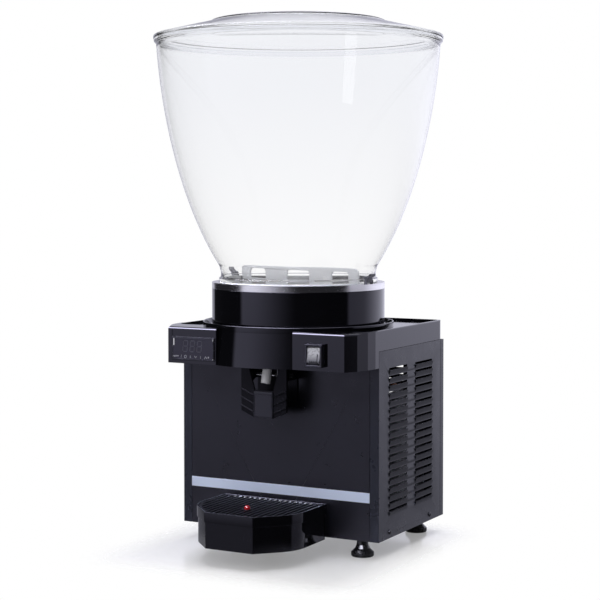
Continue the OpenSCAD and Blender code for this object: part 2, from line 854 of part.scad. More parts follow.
module mixer_motor() color([0.3, 0.31, 0.33]) {
    translate([0, 0, motor_z]) cylinder(r = motor_r, h = motor_h);
    translate([0, 0, motor_z - 6]) cylinder(r = motor_r - 8, h = 6);
    translate([0, 0, motor_z + motor_h]) cylinder(r = 12, h = 6);
    translate([0, 0, motor_z + motor_h]) cylinder(r = shaft_r, h = 40);
}

module motor_bracket() color([0.6, 0.61, 0.63]) {
    z = motor_z + motor_h;
    difference() {
        union() {
            box([-50, -30, z], [50, 30, z + 2]);
            for (side = [-1, 1]) {
                translate([side * 49, 0, (z + plate_z) / 2]) cube([2, 60, plate_z - z], center = true);
                translate([side * 55, 0, plate_z - 1]) cube([14, 60, 2], center = true);
            }
        }
        translate([0, 0, z - 1]) cylinder(r = 12, h = 4);
    }
}

magnet_top = bowl_under - 3;
magnet_h = 10;

module drive_magnet() color([0.22, 0.22, 0.24])
    difference() {
        union() {
            translate([0, 0, magnet_top - magnet_h]) cylinder(r = magnet_r, h = magnet_h);
            translate([0, 0, magnet_top - magnet_h - 8]) cylinder(r = 9, h = 8 + eps);
        }
        translate([0, 0, magnet_top - magnet_h - 9]) cylinder(r = shaft_r + run, h = magnet_h + 5);
    }

module mixer_rotor() color([0.9, 0.9, 0.9])
    difference() {
        union() {
            translate([0, 0, rotor_z]) cylinder(r = magnet_r, h = rotor_disc_h);
            intersection() {
                translate([0, 0, rotor_z]) cylinder(r = hub_r, h = hub_top - rotor_z);
                rotate([0, 0, blade_angle]) translate([-hub_r, -hub_flat, rotor_z])
                    cube([2 * hub_r, 2 * hub_flat, hub_top - rotor_z]);
            }
        }
        translate([0, 0, rotor_z - 1])
            cylinder(r = spigot_r + run, h = spigot_h + 1 + bowl_z + gap - rotor_z);
    }

socket_r = hub_r + 5;
socket_z = rotor_z + rotor_disc_h + gap;
socket_h = 46;

// One window of the blade, with round upper corners
module blade_window(x0, x1, z0, z1) {
    r = 5;
    translate([x0, z0]) square([x1 - x0, z1 - z0 - r]);
    translate([x0 + r, z0]) square([x1 - x0 - 2 * r, z1 - z0]);
    for (x = [x0 + r, x1 - r]) translate([x, z1 - r]) circle(r);
}

module mixer_blade() color([0.93, 0.94, 0.95, 0.8]) {
    low = socket_z + 4;
    top = rim_z + blade_up;
    corner = 8;
    shoulder = rim_z - 20;
    foot_half = bowl_r - 8;
    inner_half = blade_half - corner;
    rotate([0, 0, blade_angle]) difference() {
        union() {
            rotate([90, 0, 0]) linear_extrude(blade_t, center = true) difference() {
                union() {
                    translate([-foot_half, low]) square([2 * foot_half, top - corner - low]);
                    translate([-blade_half, shoulder]) square([2 * blade_half, top - corner - shoulder]);
                    translate([-inner_half, shoulder]) square([2 * inner_half, top - shoulder]);
                    for (side = [-1, 1]) translate([side * inner_half, top - corner]) circle(corner);
                }
                blade_window(-21.8, 21.8, rim_z - 4, top - 5.5);
                for (side = [-1, 1]) mirror([side < 0 ? 1 : 0, 0]) {
                    blade_window(blade_half - 48.5, blade_half - 17.5, rim_z - 4, top - 5.5);
                    blade_window(32, foot_half - 17, low + 12, rim_z - 14);
                }
            }
            translate([0, 0, socket_z]) cylinder(r = socket_r, h = socket_h);
        }
        translate([0, 0, socket_z - 1]) intersection() {
            cylinder(r = hub_r + gap, h = hub_top - socket_z + 1 + gap);
            translate([-far, -hub_flat - gap, 0]) cube([2 * far, 2 * (hub_flat + gap), far]);
        }
    }
}

// Refrigeration

comp_r = 66;
comp_foot_x = 70;
comp_foot_y = 53;
comp_x = comp_foot_x + 11.3 - in_x;
comp_y = rear_y - comp_r - 16;
comp_z = base_z + sheet_t;
comp_leg = 12;
comp_h = 150;

module compressor_spots() {
    for (sx = [-1, 1], sy = [-1, 1])
        translate([comp_x + sx * (comp_foot_x - 8), comp_y + sy * (comp_foot_y - 8), 0]) children();
}

module compressor() color([0.06, 0.06, 0.07]) {
    low = comp_z + comp_leg;
    translate([comp_x, comp_y, 0]) rotate_extrude() {
        translate([0, low]) square([comp_r - 10, comp_h]);
        translate([0, low + 12]) square([comp_r, comp_h - 40]);
        translate([0, low + 10]) square([comp_r - 4, comp_h - 24]);
        translate([comp_r - 16, low + comp_h - 28]) circle(16);
    }
    difference() {
        box([comp_x - comp_foot_x, comp_y - comp_foot_y, low],
            [comp_x + comp_foot_x, comp_y + comp_foot_y, low + 3]);
        compressor_spots() translate([0, 0, low - 1]) cylinder(r = 5, h = 5);
    }
    translate([comp_x + 30, comp_y + 20, low + comp_h - 2]) cylinder(r = 4, h = 12);
    translate([comp_x - 20, comp_y + 30, low + comp_h - 2]) cylinder(r = 5, h = 12);
}

module compressor_grommets() color([0.1, 0.1, 0.1])
    compressor_spots() {
        translate([0, 0, comp_z]) cylinder(r = 10, h = comp_leg);
        translate([0, 0, comp_z + comp_leg - eps]) cylinder(r = 5, h = 3 + eps);
    }

cond_x = half_w - sheet_t - 50;
cond_t = 34;
cond_y0 = front_y + 34;
cond_y1 = rear_y - foot_in_rear - boss_r - 3;
cond_h = 200;
fan_y = (cond_y0 + cond_y1) / 2;
fan_z = comp_z + cond_h / 2 + 4;
fan_r = (cond_y1 - cond_y0) / 2 - 10;
fan_hub_r = 18;
fan_in = fan_hub_r / 2;
fan_out = fan_r + 7;
fan_x = cond_x - 8;

module condenser() color([0.75, 0.76, 0.78]) {
    fins = 22;
    fin_t = 1.2;
    step = (cond_y1 - cond_y0 - fin_t) / fins;
    for (i = [0 : fins])
        translate([cond_x, cond_y0 + i * step, comp_z]) cube([cond_t, fin_t, cond_h]);
    for (column = [0, 1], row = [0 : 5])
        translate([cond_x + 9 + column * 16, cond_y0 - 4, comp_z + 20 + row * 32]) rotate([-90, 0, 0])
            cylinder(r = 4, h = cond_y1 - cond_y0 + 8);
}

module fan_shroud() color([0.5, 0.51, 0.53])
    translate([cond_x, 0, 0]) difference() {
        union() {
            box([-1.5, cond_y0, comp_z], [0, cond_y1, comp_z + cond_h]);
            translate([0, fan_y, fan_z]) rotate([0, -90, 0]) cylinder(r = fan_r + 6, h = 18);
        }
        translate([1, fan_y, fan_z]) rotate([0, -90, 0]) cylinder(r = fan_r + 4, h = 30);
    }

module fan_motor() color([0.35, 0.36, 0.38]) {
    back = fan_x - 62;
    translate([back, fan_y, fan_z]) rotate([0, 90, 0]) cylinder(r = 28, h = 44);
    translate([back + 44, fan_y, fan_z]) rotate([0, 90, 0]) cylinder(r = 3, h = 18);
    for (y = [-18, 18])
        box([back + 12, fan_y + y - 3, comp_z], [back + 32, fan_y + y + 3, fan_z - 20]);
    box([back + 4, fan_y - 30, comp_z], [back + 40, fan_y + 30, comp_z + 2]);
}

blades = 5;

module fan_blade() color([0.12, 0.12, 0.13])
    translate([fan_x, fan_y, fan_z]) rotate([0, 90, 0]) difference() {
        intersection() {
            union() {
                translate([0, 0, -14]) cylinder(r = fan_hub_r, h = 16);
                for (i = [0 : blades - 1])
                    rotate([0, 0, i * 360 / blades]) translate([(fan_in + fan_out) / 2, 0, -6])
                        rotate([28, 0, 0]) cube([fan_out - fan_in, 40, 1.5], center = true);
            }
            translate([0, 0, -14]) cylinder(r = fan_r, h = 20);
        }
        translate([0, 0, -15]) cylinder(r = 3 + run, h = 15.5);
    }

drier_x = 14;
drier_y = rear_y - 28;
drier_z = comp_z + 40;
drier_h = 90;
pipe_r = 3;

module filter_drier() color([0.72, 0.43, 0.25])
    translate([drier_x, drier_y, drier_z]) {
        cylinder(r1 = pipe_r, r2 = 10, h = 10);
        translate([0, 0, 10]) cylinder(r = 10, h = drier_h - 20);
        translate([0, 0, drier_h - 10]) cylinder(r1 = 10, r2 = pipe_r, h = 10);
    }

discharge_x = comp_x + 30;
discharge_y = comp_y + 20;
suction_x = comp_x - 20;
suction_y = comp_y + 30;
comp_top = comp_z + comp_leg + comp_h + 10;
coil_y = bowl_r + bowl_t + coil_tube_r + run;

module pipe_holes() {
    for (x = [-12, 12])
        translate([x, coil_y, plate_z - 20]) cylinder(r = pipe_r + 1, h = 60);
}

module refrigerant_pipes() color([0.72, 0.43, 0.25]) {
    coil_bottom = coil_low;
    cond_low = comp_z + 20;
    cond_high = comp_z + 180;
    column_x = cond_x + 9;
    pipe([
        [discharge_x, discharge_y, comp_top], [discharge_x, discharge_y, comp_top + 30],
        [column_x, discharge_y + 50, comp_top + 30], [column_x, cond_y1 + 12, cond_high],
        [column_x, cond_y1 + 4, cond_high]
    ], pipe_r);
    pipe([
        [column_x, cond_y1 + 4, cond_low], [column_x, cond_y1 + 12, cond_low],
        [drier_x, drier_y, cond_low], [drier_x, drier_y, drier_z]
    ], pipe_r);
    pipe([
        [drier_x, drier_y, drier_z + drier_h], [drier_x, drier_y, comp_top + 60],
        [12, coil_y, comp_top + 70], [12, coil_y, coil_bottom]
    ], pipe_r);
    pipe([
        [suction_x, suction_y, comp_top], [suction_x, suction_y, comp_top + 50],
        [-12, coil_y, comp_top + 60], [-12, coil_y, coil_bottom]
    ], pipe_r);
}

// Controls

module thermostat_body() color([0.04, 0.04, 0.05]) {
    translate([-pod_mid, pod_y, control_z]) {
        translate([0, recess - frame_t / 2, 0]) cube([thermo_w, frame_t, thermo_h], center = true);
        translate([0, (recess + thermo_d) / 2, 0])
            cube([thermo_w - 4.6, thermo_d - recess + eps, thermo_h - 6.6], center = true);
    }
}

module thermostat_face() color([0.1, 0.1, 0.13])
    translate([-pod_mid, pod_y + recess - frame_t - face_t / 2, control_z])
        cube([thermo_w - 2.4, face_t, thermo_h - 2.4], center = true);

module switch_body() color([0.06, 0.06, 0.07]) {
    well_w = rocker_w + 0.8;
    well_h = 2 * rocker_r + 0.8;
    translate([pod_mid, pod_y, control_z]) difference() {
        union() {
            translate([0, -bezel_out / 2, 0]) cube([bezel_w, bezel_out, bezel_h], center = true);
            translate([0, 12, 0]) cube([bezel_w - 4.6, 24 + eps, bezel_h - 4.6], center = true);
        }
        translate([0, -bezel_out / 2 + 4, 0]) cube([well_w, bezel_out + 10, well_h], center = true);
        translate([0, rocker_pivot, 0]) rotate([0, 90, 0])
            cylinder(r = rocker_pin_r + run, h = rocker_pin_len + 2 * gap, center = true);
    }
}

rocker_w = bezel_w - 6.6;
rocker_pivot = -bezel_out + 9;
rocker_pin_r = 1.5;
rocker_pin_len = rocker_w + 2;

module rocker() color([0.75, 0.77, 0.8])
    translate([pod_mid, pod_y + rocker_pivot, control_z]) {
        intersection() {
            rotate([0, 90, 0]) cylinder(r = rocker_r, h = rocker_w, center = true);
            rotate([-rocker_travel / 2, 0, 0]) side_profile(rocker_w) polygon([
                [-9.4, rocker_r + 2], [-7.4, 0], [-9.4, -rocker_r - 2],
                [2, -rocker_r - 2], [5, 0], [2, rocker_r + 2]
            ]);
        }
        rotate([0, 90, 0]) cylinder(r = rocker_pin_r, h = rocker_pin_len, center = true);
    }

// Tap

cheek_z = pivot_z - 7;

module tap_body() color([0.03, 0.03, 0.035])
    difference() {
        union() {
            box([-cheek_in - cheek_t, front_y - 2.5, lever_z + 12], [cheek_in + cheek_t, front_y, tap_top]);
            box([-cheek_in - cheek_t, pivot_y - 16, tap_top - 3], [cheek_in + cheek_t, front_y, tap_top]);
            box([-cheek_in - 1, pivot_y - spring_r + wire_r + gap, pivot_z + 13],
                [cheek_in + 1, pivot_y + 4, tap_top]);
            for (side = [-1, 1])
                translate([side * (cheek_in + cheek_t / 2), 0, 0]) side_profile(cheek_t / 2) {
                    translate([pivot_y - 8, cheek_z]) square([front_y - pivot_y + 8, tap_top - cheek_z]);
                }
        }
        translate([0, pivot_y, pivot_z]) rotate([0, 90, 0]) cylinder(r = pin_r, h = 100, center = true);
        // Slot for the hose, open to the front
        box([-hose_r - 2, pivot_y - 20, pivot_z], [hose_r + 2, outlet_y + hose_r + 2, tap_top + 1]);
    }

// The leaning stretch of the hose, which starts inside its upright stretch
module hose_line(r, grow) {
    lap = 3;
    translate([0, outlet_y, hose_bend_z]) rotate([180 - hose_lean, 0, 0]) translate([0, 0, -lap])
        cylinder(r = r, h = hose_tip + lap + grow);
}

module outlet_hose() color([0.93, 0.93, 0.94])
    difference() {
        union() {
            translate([0, outlet_y, hose_bend_z]) cylinder(r = hose_r, h = 14);
            hose_line(hose_r, 0);
        }
        translate([0, outlet_y, hose_bend_z + 2]) cylinder(r = stub_r, h = 14);
        translate([0, outlet_y, hose_bend_z]) cylinder(r = stub_r - 1, h = 14);
        hose_line(stub_r - 1, 2);
    }

module tap_pin() color([0.7, 0.71, 0.73])
    translate([0, pivot_y, pivot_z]) rotate([0, 90, 0]) {
        cylinder(r = pin_r, h = 2 * (cheek_in + cheek_t), center = true);
        for (side = [-1, 1])
            translate([0, 0, side * (cheek_in + cheek_t + 0.6)])
                cylinder(r = pin_r + 1.2, h = 1.2, center = true);
    }

notch_low = lever_z + pad_h + 1.5;
notch_high = pivot_z + 15;
lever_top = pivot_z + 21.5;

// Outline of the press lever: a chevron below, a notch for the hose above the pad
module lever_outline() {
    difference() {
        polygon([
            [-pad_half, lever_z], [pad_half, lever_z], [lever_half, lever_z + 9.5], [lever_half, lever_top],
            [-lever_half, lever_top], [-lever_half, lever_z + 9.5]
        ]);
        polygon([[-pad_half + 0.6, notch_low], [pad_half - 0.6, notch_low], [arm_in - 0.5, notch_high],
            [-arm_in + 0.5, notch_high]]);
    }
}

module lever_ribs() {
    for (side = [-1, 1], i = [0 : 2])
        translate([0, lever_y + lever_t - 0.6, lever_z + 13.5 + i * 12.2]) rotate([90, 0, 0])
            linear_extrude(lever_t + 1.2) polygon([
                [side * (pad_half + 0.8), -6.5], [side * lever_half, 3],
                [side * lever_half, 5], [side * (pad_half + 0.8), -4.5]
            ]);
}

module tap_lever() color([0.04, 0.04, 0.045])
    difference() {
        union() {
            translate([0, lever_y + lever_t, 0]) rotate([90, 0, 0]) linear_extrude(lever_t) lever_outline();
            lever_ribs();
            box([-pad_half, lever_y - 1.6, lever_z], [pad_half, lever_y + eps, lever_z + pad_h]);
            box([-arm_in - arm_t, lever_y, notch_high], [arm_in + arm_t, lever_y + lever_t + 1.2, lever_top]);
            for (side = [-1, 1])
                translate([side * (arm_in + arm_t / 2), 0, 0]) side_profile(arm_t / 2) {
                    translate([pivot_y, pivot_z]) circle(6);
                    polygon([
                        [lever_y + 1, pivot_z - 18], [pivot_y, pivot_z - 6], [pivot_y + 4, pivot_z + 3],
                        [pivot_y, pivot_z + 6], [lever_y + 1, pivot_z + 16]
                    ]);
                }
        }
        translate([0, pivot_y, pivot_z]) rotate([0, 90, 0]) cylinder(r = pin_r + run, h = 80, center = true);
    }

module tap_spring() color([0.7, 0.71, 0.73])
    translate([0, pivot_y, pivot_z]) {
        turns = 8;
        first_x = 12;
        pitch = 1.5;
        for (i = [0 : turns - 1])
            translate([first_x + i * pitch, 0, 0]) rotate([0, 90, 0]) rotate_extrude()
                translate([spring_r, 0]) circle(wire_r);
        translate([first_x, -spring_r, 0]) cylinder(r = wire_r - 0.1, h = 17);
        translate([first_x + (turns - 1) * pitch, 0, -spring_r]) rotate([90, 0, 0])
            cylinder(r = wire_r - 0.1, h = pivot_y - lever_y - lever_t - gap);
    }

// Drip tray

module tray_bracket() color([0.12, 0.12, 0.13])
    difference() {
        union() {
            box([-ear_x - 12, front_y - bracket_t, base_z + 6], [ear_x + 12, front_y, base_z + 42]);
            for (side = [-1, 1])
                translate([side * ear_x, 0, 0]) {
                    box([-tongue_half, tongue_front, hook_z],
                        [tongue_half, front_y - bracket_t + 1, hook_z + 2]);
                    box([-tongue_half, tongue_front, hook_z], [tongue_half, tongue_back, hook_z + hook_h]);
                }
        }
        bracket_screw_spots() screw_hole();
    }

// Points on a round corner, from angle a0 to angle a1
function arc(centre, r, a0, a1) = let (steps = 9) [
    for (i = [0 : steps])
        let (a = a0 + (a1 - a0) * i / steps)
            centre + r * [cos(a), sin(a)]
];

// Plan of the tray, drawn in from its edge by the inset: two long round corners between straight facets
module tray_plan(inset) {
    half = tray_half - inset;
    r = tray_round - inset;
    cx = tray_half - tray_round;
    cy = tray_front + cx + 2 * tray_round * cos(45) - tray_flat / 2;
    flat = tray_flat / 2 - inset * tan(22.5);
    polygon(concat(
        [[half, tray_back - inset]],
        arc([cx, cy], r, 0, -45),
        [[flat, tray_front + inset], [-flat, tray_front + inset]],
        arc([-cx, cy], r, -135, -180),
        [[-half, tray_back - inset]]
    ));
}

module tray_layer(z0, z1, inset) {
    translate([0, 0, z0]) linear_extrude(z1 - z0) tray_plan(inset);
}

ear_z = hook_z + hook_h - 10;

module drip_tray() color([0.02, 0.02, 0.025]) {
    floor_z = tray_z - tray_h;
    difference() {
        union() {
            tray_layer(floor_z, tray_z - 1, band_step);
            tray_layer(tray_z - band_h, tray_z, 0);
        }
        tray_layer(floor_z + tray_t, tray_z + 1, band_step + tray_t);
        tray_layer(grille_z - gap, tray_z + 1, rim_t);
    }
    for (side = [-1, 1])
        translate([side * ear_x, 0, 0]) difference() {
            box([-ear_half, tray_back - band_step - 1, ear_z],
                [ear_half, front_y - bracket_t - 0.5, hook_z + hook_h + 4]);
            box([-tongue_half - gap, tongue_front - gap, ear_z - 1],
                [tongue_half + gap, tongue_back + gap, hook_z + hook_h + gap]);
        }
}

module drip_grille() color([0.03, 0.03, 0.035]) {
    inset = rim_t + gap;
    frame_w = 5;
    bars = floor((tray_w - 2 * inset - 2 * frame_w) / grille_pitch / 2);
    difference() {
        tray_layer(grille_z, grille_z + grille_t, inset);
        intersection() {
            tray_layer(grille_z - 1, grille_z + grille_t + 1, inset + frame_w);
            difference() {
                for (i = [-bars : bars])
                    translate([i * grille_pitch, (tray_front + tray_back) / 2, grille_z])
                        cube([grille_slot, tray_reach, 3 * grille_t], center = true);
                translate([0, float_y, grille_z - 2]) cylinder(r = ball_r + 3.5, h = 10);
                box([-tray_half, (tray_front + tray_back) / 2 - 2, grille_z - 2],
                    [tray_half, (tray_front + tray_back) / 2 + 2, grille_z + grille_t - 1.4]);
            }
        }
        translate([0, float_y, grille_z - 1]) cylinder(r = stem_r + 0.08, h = grille_t + 2);
        translate([0, float_y, grille_z + grille_t + ball_lift]) sphere(ball_r + gap);
    }
}

stem_r = 2;
disc_r = 11;
disc_h = 6;
ball_lift = 1.2;
float_travel = 10;
disc_top = grille_z - float_travel - gap;

module float_indicator() color([0.75, 0.05, 0.08])
    translate([0, float_y, 0]) {
        translate([0, 0, grille_z + grille_t + ball_lift]) sphere(ball_r);
        translate([0, 0, disc_top - disc_h]) cylinder(r = disc_r, h = disc_h);
        translate([0, 0, disc_top - 1]) cylinder(r = stem_r, h = grille_z + grille_t + 1 - disc_top);
    }

base_pan();
front_panel();
label_strip();
side_panel_left();
side_panel_right();
rear_panel();
panel_screws();
support_plate();
top_cover();
drip_ring();
collar();
evaporator_bowl();
evaporator_coil();
bowl_insulation();
tank_gasket();
clip_brackets();
compressor();
compressor_grommets();
condenser();
fan_shroud();
fan_motor();
fan_blade();
filter_drier();
refrigerant_pipes();
mixer_motor();
motor_bracket();
drive_magnet();
mixer_rotor();
mixer_blade();
thermostat_body();
thermostat_face();
switch_body();
rocker();
tap_body();
outlet_hose();
tap_lever();
tap_pin();
tap_spring();
tray_bracket();
drip_tray();
drip_grille();
float_indicator();
tank();
lid();
tank_clip_left();
tank_clip_right();
foot_at(-1, front_y + foot_in_front);  // foot_front_left
foot_at(1, front_y + foot_in_front);  // foot_front_right
foot_at(-1, rear_y - foot_in_rear);  // foot_rear_left
foot_at(1, rear_y - foot_in_rear);  // foot_rear_right
cable_gland();
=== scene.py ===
import math

import bmesh
import bpy
from mathutils import Matrix, Vector


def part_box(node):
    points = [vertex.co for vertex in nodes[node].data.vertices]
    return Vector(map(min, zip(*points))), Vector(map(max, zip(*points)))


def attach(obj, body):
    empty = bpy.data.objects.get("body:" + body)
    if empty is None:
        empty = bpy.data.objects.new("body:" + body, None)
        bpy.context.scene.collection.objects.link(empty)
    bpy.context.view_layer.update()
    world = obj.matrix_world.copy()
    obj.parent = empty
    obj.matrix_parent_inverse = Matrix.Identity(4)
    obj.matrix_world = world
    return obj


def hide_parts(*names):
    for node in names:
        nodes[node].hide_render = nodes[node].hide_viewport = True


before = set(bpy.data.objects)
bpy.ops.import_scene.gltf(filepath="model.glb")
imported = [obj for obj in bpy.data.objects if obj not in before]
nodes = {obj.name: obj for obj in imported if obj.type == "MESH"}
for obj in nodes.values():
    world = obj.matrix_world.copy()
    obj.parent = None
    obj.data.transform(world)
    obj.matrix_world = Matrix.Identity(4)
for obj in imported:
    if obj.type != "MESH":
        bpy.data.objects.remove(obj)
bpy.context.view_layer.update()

# Looks of a cold drink dispenser: finishes, rounded edges, clear tank, controls and studio.
# Metres. The origin is on the floor under the tank's axis, +Z is up, and the tap faces -Y.

scene = bpy.context.scene
MM = 0.001


def low(node):
    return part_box(node)[0]


def high(node):
    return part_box(node)[1]


# Node trees


class Nodes:
    """A node tree being made, and the steps that more than one tree takes"""

    def __init__(self, tree):
        self.tree = tree

    def add(self, kind, **settings):
        node = self.tree.nodes.new(kind)
        for key, value in settings.items():
            setattr(node, key, value)
        return node

    def join(self, a, b):
        self.tree.links.new(a, b)

    def separate(self, vector):
        node = self.add("ShaderNodeSeparateXYZ")
        self.join(vector, node.inputs["Vector"])
        return node.outputs

    def maths(self, kind, a, b):
        """A step on two values, each of them a number or another node's output"""
        node = self.add("ShaderNodeMath", operation=kind)
        for socket, value in zip(node.inputs, (a, b)):
            if isinstance(value, (int, float)):
                socket.default_value = value
            else:
                self.join(value, socket)
        return node.outputs["Value"]

    def vector(self, kind, source, other=None):
        """A step on a vector, with a fixed second vector where the step takes two"""
        node = self.add("ShaderNodeVectorMath", operation=kind)
        if other:
            node.inputs[1].default_value = other
        self.join(source, node.inputs[0])
        return node.outputs["Value" if kind in ("DOT_PRODUCT", "LENGTH") else "Vector"]

    def span(self, value, low_in, high_in, low_out, high_out, kind="LINEAR"):
        """The value mapped from one range to another, and held inside it"""
        node = self.add("ShaderNodeMapRange", interpolation_type=kind)
        for key, number in zip(("From Min", "From Max", "To Min", "To Max"),
                               (low_in, high_in, low_out, high_out)):
            node.inputs[key].default_value = number
        self.join(value, node.inputs["Value"])
        return node.outputs["Result"]

    def ease(self, value, low_in, high_in, low_out, high_out):
        """The same with a soft start and end"""
        return self.span(value, low_in, high_in, low_out, high_out, "SMOOTHSTEP")

    def mix_shaders(self, factor, a, b):
        node = self.add("ShaderNodeMixShader")
        self.join(factor, node.inputs["Fac"])
        self.join(a, node.inputs[1])
        self.join(b, node.inputs[2])
        return node.outputs["Shader"]


# Camera and studio

picture_width = 600
picture_shift = -50
camera_lens = 94.81
camera_place = (1.14855, -2.13253, 0.53347)
camera_tilt = math.radians(88)
camera_turn = 0.493


def add_camera():
    """The photograph's view, from the front right and a little above"""
    data = bpy.data.cameras.new("camera")
    data.sensor_width = 36
    data.lens = camera_lens
    data.shift_y = picture_shift / picture_width
    camera = bpy.data.objects.new("camera", data)
    camera.location = camera_place
    camera.rotation_euler = (camera_tilt, 0, camera_turn)
    scene.collection.objects.link(camera)
    scene.camera = camera


def add_lamp(name, place, target, size, radiance):
    """A rectangular lamp of even brightness, which faces its target and stays out of sight"""
    data = bpy.data.lights.new(name, "AREA")
    data.shape = "RECTANGLE"
    data.size, data.size_y = size
    data.energy = radiance * math.pi * size[0] * size[1]
    lamp = bpy.data.objects.new(name, data)
    lamp.location = place
    way = Vector(target) - Vector(place)
    lamp.rotation_euler = way.to_track_quat("-Z", "Y").to_euler()
    lamp.visible_camera = False
    lamp.visible_transmission = False
    scene.collection.objects.link(lamp)
    return lamp


def add_softbox(name, place, target, size, radiance):
    """A lamp that lights the object but isn't mirrored in it"""
    lamp = add_lamp(name, place, target, size, radiance)
    lamp.visible_glossy = False


def add_glint(parts):
    """A tall window's soft reflection, which only the clear parts show"""
    lamp = add_lamp("window_glint", (1.85, -0.75, 0.48), (0, 0, 0.6), (0.32, 0.6), 4.5)
    lit = bpy.data.collections.new("clear_parts")
    for part in parts:
        lit.objects.link(part)
    lamp.light_linking.receiver_collection = lit


# Azimuths of the lights in reflections, in degrees from +X towards +Y. The front light also
# keeps to the half of the room round front_half.
rear_light = 78
front_light = -135
front_half = -53
strip_light = -118

# Strengths of the rear light and of what its middle adds, of the light above, of the strip high
# in front, and of the even light that matt surfaces get
rear_strength = 0.6
rear_middle_strength = 0.55
above_strength = 5.0
strip_strength = 24.0
ambient_strength = 0.24


def add_world():
    """White behind the object. Reflections see a room with lights in front, behind and above instead"""
    world = bpy.data.worlds.new("studio")
    world.use_nodes = True
    scene.world = world
    world.node_tree.nodes.clear()
    sky = Nodes(world.node_tree)

    def times(a, b):
        return sky.maths("MULTIPLY", a, b)

    def brighter(a, b):
        return sky.maths("MAXIMUM", a, b)

    def towards(source, azimuth):
        """Cosine between a direction and a level one at the given azimuth in degrees"""
        turn = math.radians(azimuth)
        return sky.vector("DOT_PRODUCT", source, (math.cos(turn), math.sin(turn), 0))

    def backdrop(colour, strength):
        node = sky.add("ShaderNodeBackground")
        node.inputs["Color"].default_value = (*colour, 1)
        if isinstance(strength, float):
            node.inputs["Strength"].default_value = strength
        else:
            sky.join(strength, node.inputs["Strength"])
        return node.outputs["Background"]

    path = sky.add("ShaderNodeLightPath").outputs
    place = sky.add("ShaderNodeTexCoord").outputs["Generated"]
    height = sky.separate(place)["Z"]
    level = sky.vector("NORMALIZE", sky.vector("MULTIPLY", place, (1, 1, 0)))

    behind = towards(level, rear_light)
    rear_edge = sky.ease(behind, 0.28, 0.38, 0.02, rear_strength)
    rear = sky.maths("ADD", rear_edge, sky.ease(behind, 0.7, 1.0, 0, rear_middle_strength))
    rear = times(rear, sky.span(height, -0.28, -0.08, 0.2, 1))

    fall = sky.span(towards(level, front_light), 0.24, 0.98, 0, 1)
    across = times(times(fall, fall), sky.ease(towards(level, front_half), -0.05, 0.07, 0, 1))
    upwards = times(sky.ease(height, -0.34, -0.02, 0, 1), sky.ease(height, 0.45, 0.75, 1, 0))
    front = times(across, upwards)

    above = sky.ease(height, 0.8, 0.95, 0, above_strength)
    strip_side = sky.ease(towards(place, strip_light), 0.35, 0.5, 0, 1)
    strip = times(sky.ease(height, 0.46, 0.54, 0, strip_strength), strip_side)
    room_level = brighter(brighter(rear, front), brighter(above, strip))

    ambient = backdrop((0.97, 0.97, 1.0), ambient_strength)
    room = backdrop((0.95, 0.95, 1.12), room_level)
    unseen = sky.mix_shaders(path["Is Glossy Ray"], ambient, room)
    seen = brighter(path["Is Camera Ray"], path["Is Transmission Ray"])
    out = sky.add("ShaderNodeOutputWorld")
    sky.join(sky.mix_shaders(seen, unseen, backdrop((1, 1, 1), 1.0)), out.inputs["Surface"])


# Finishes


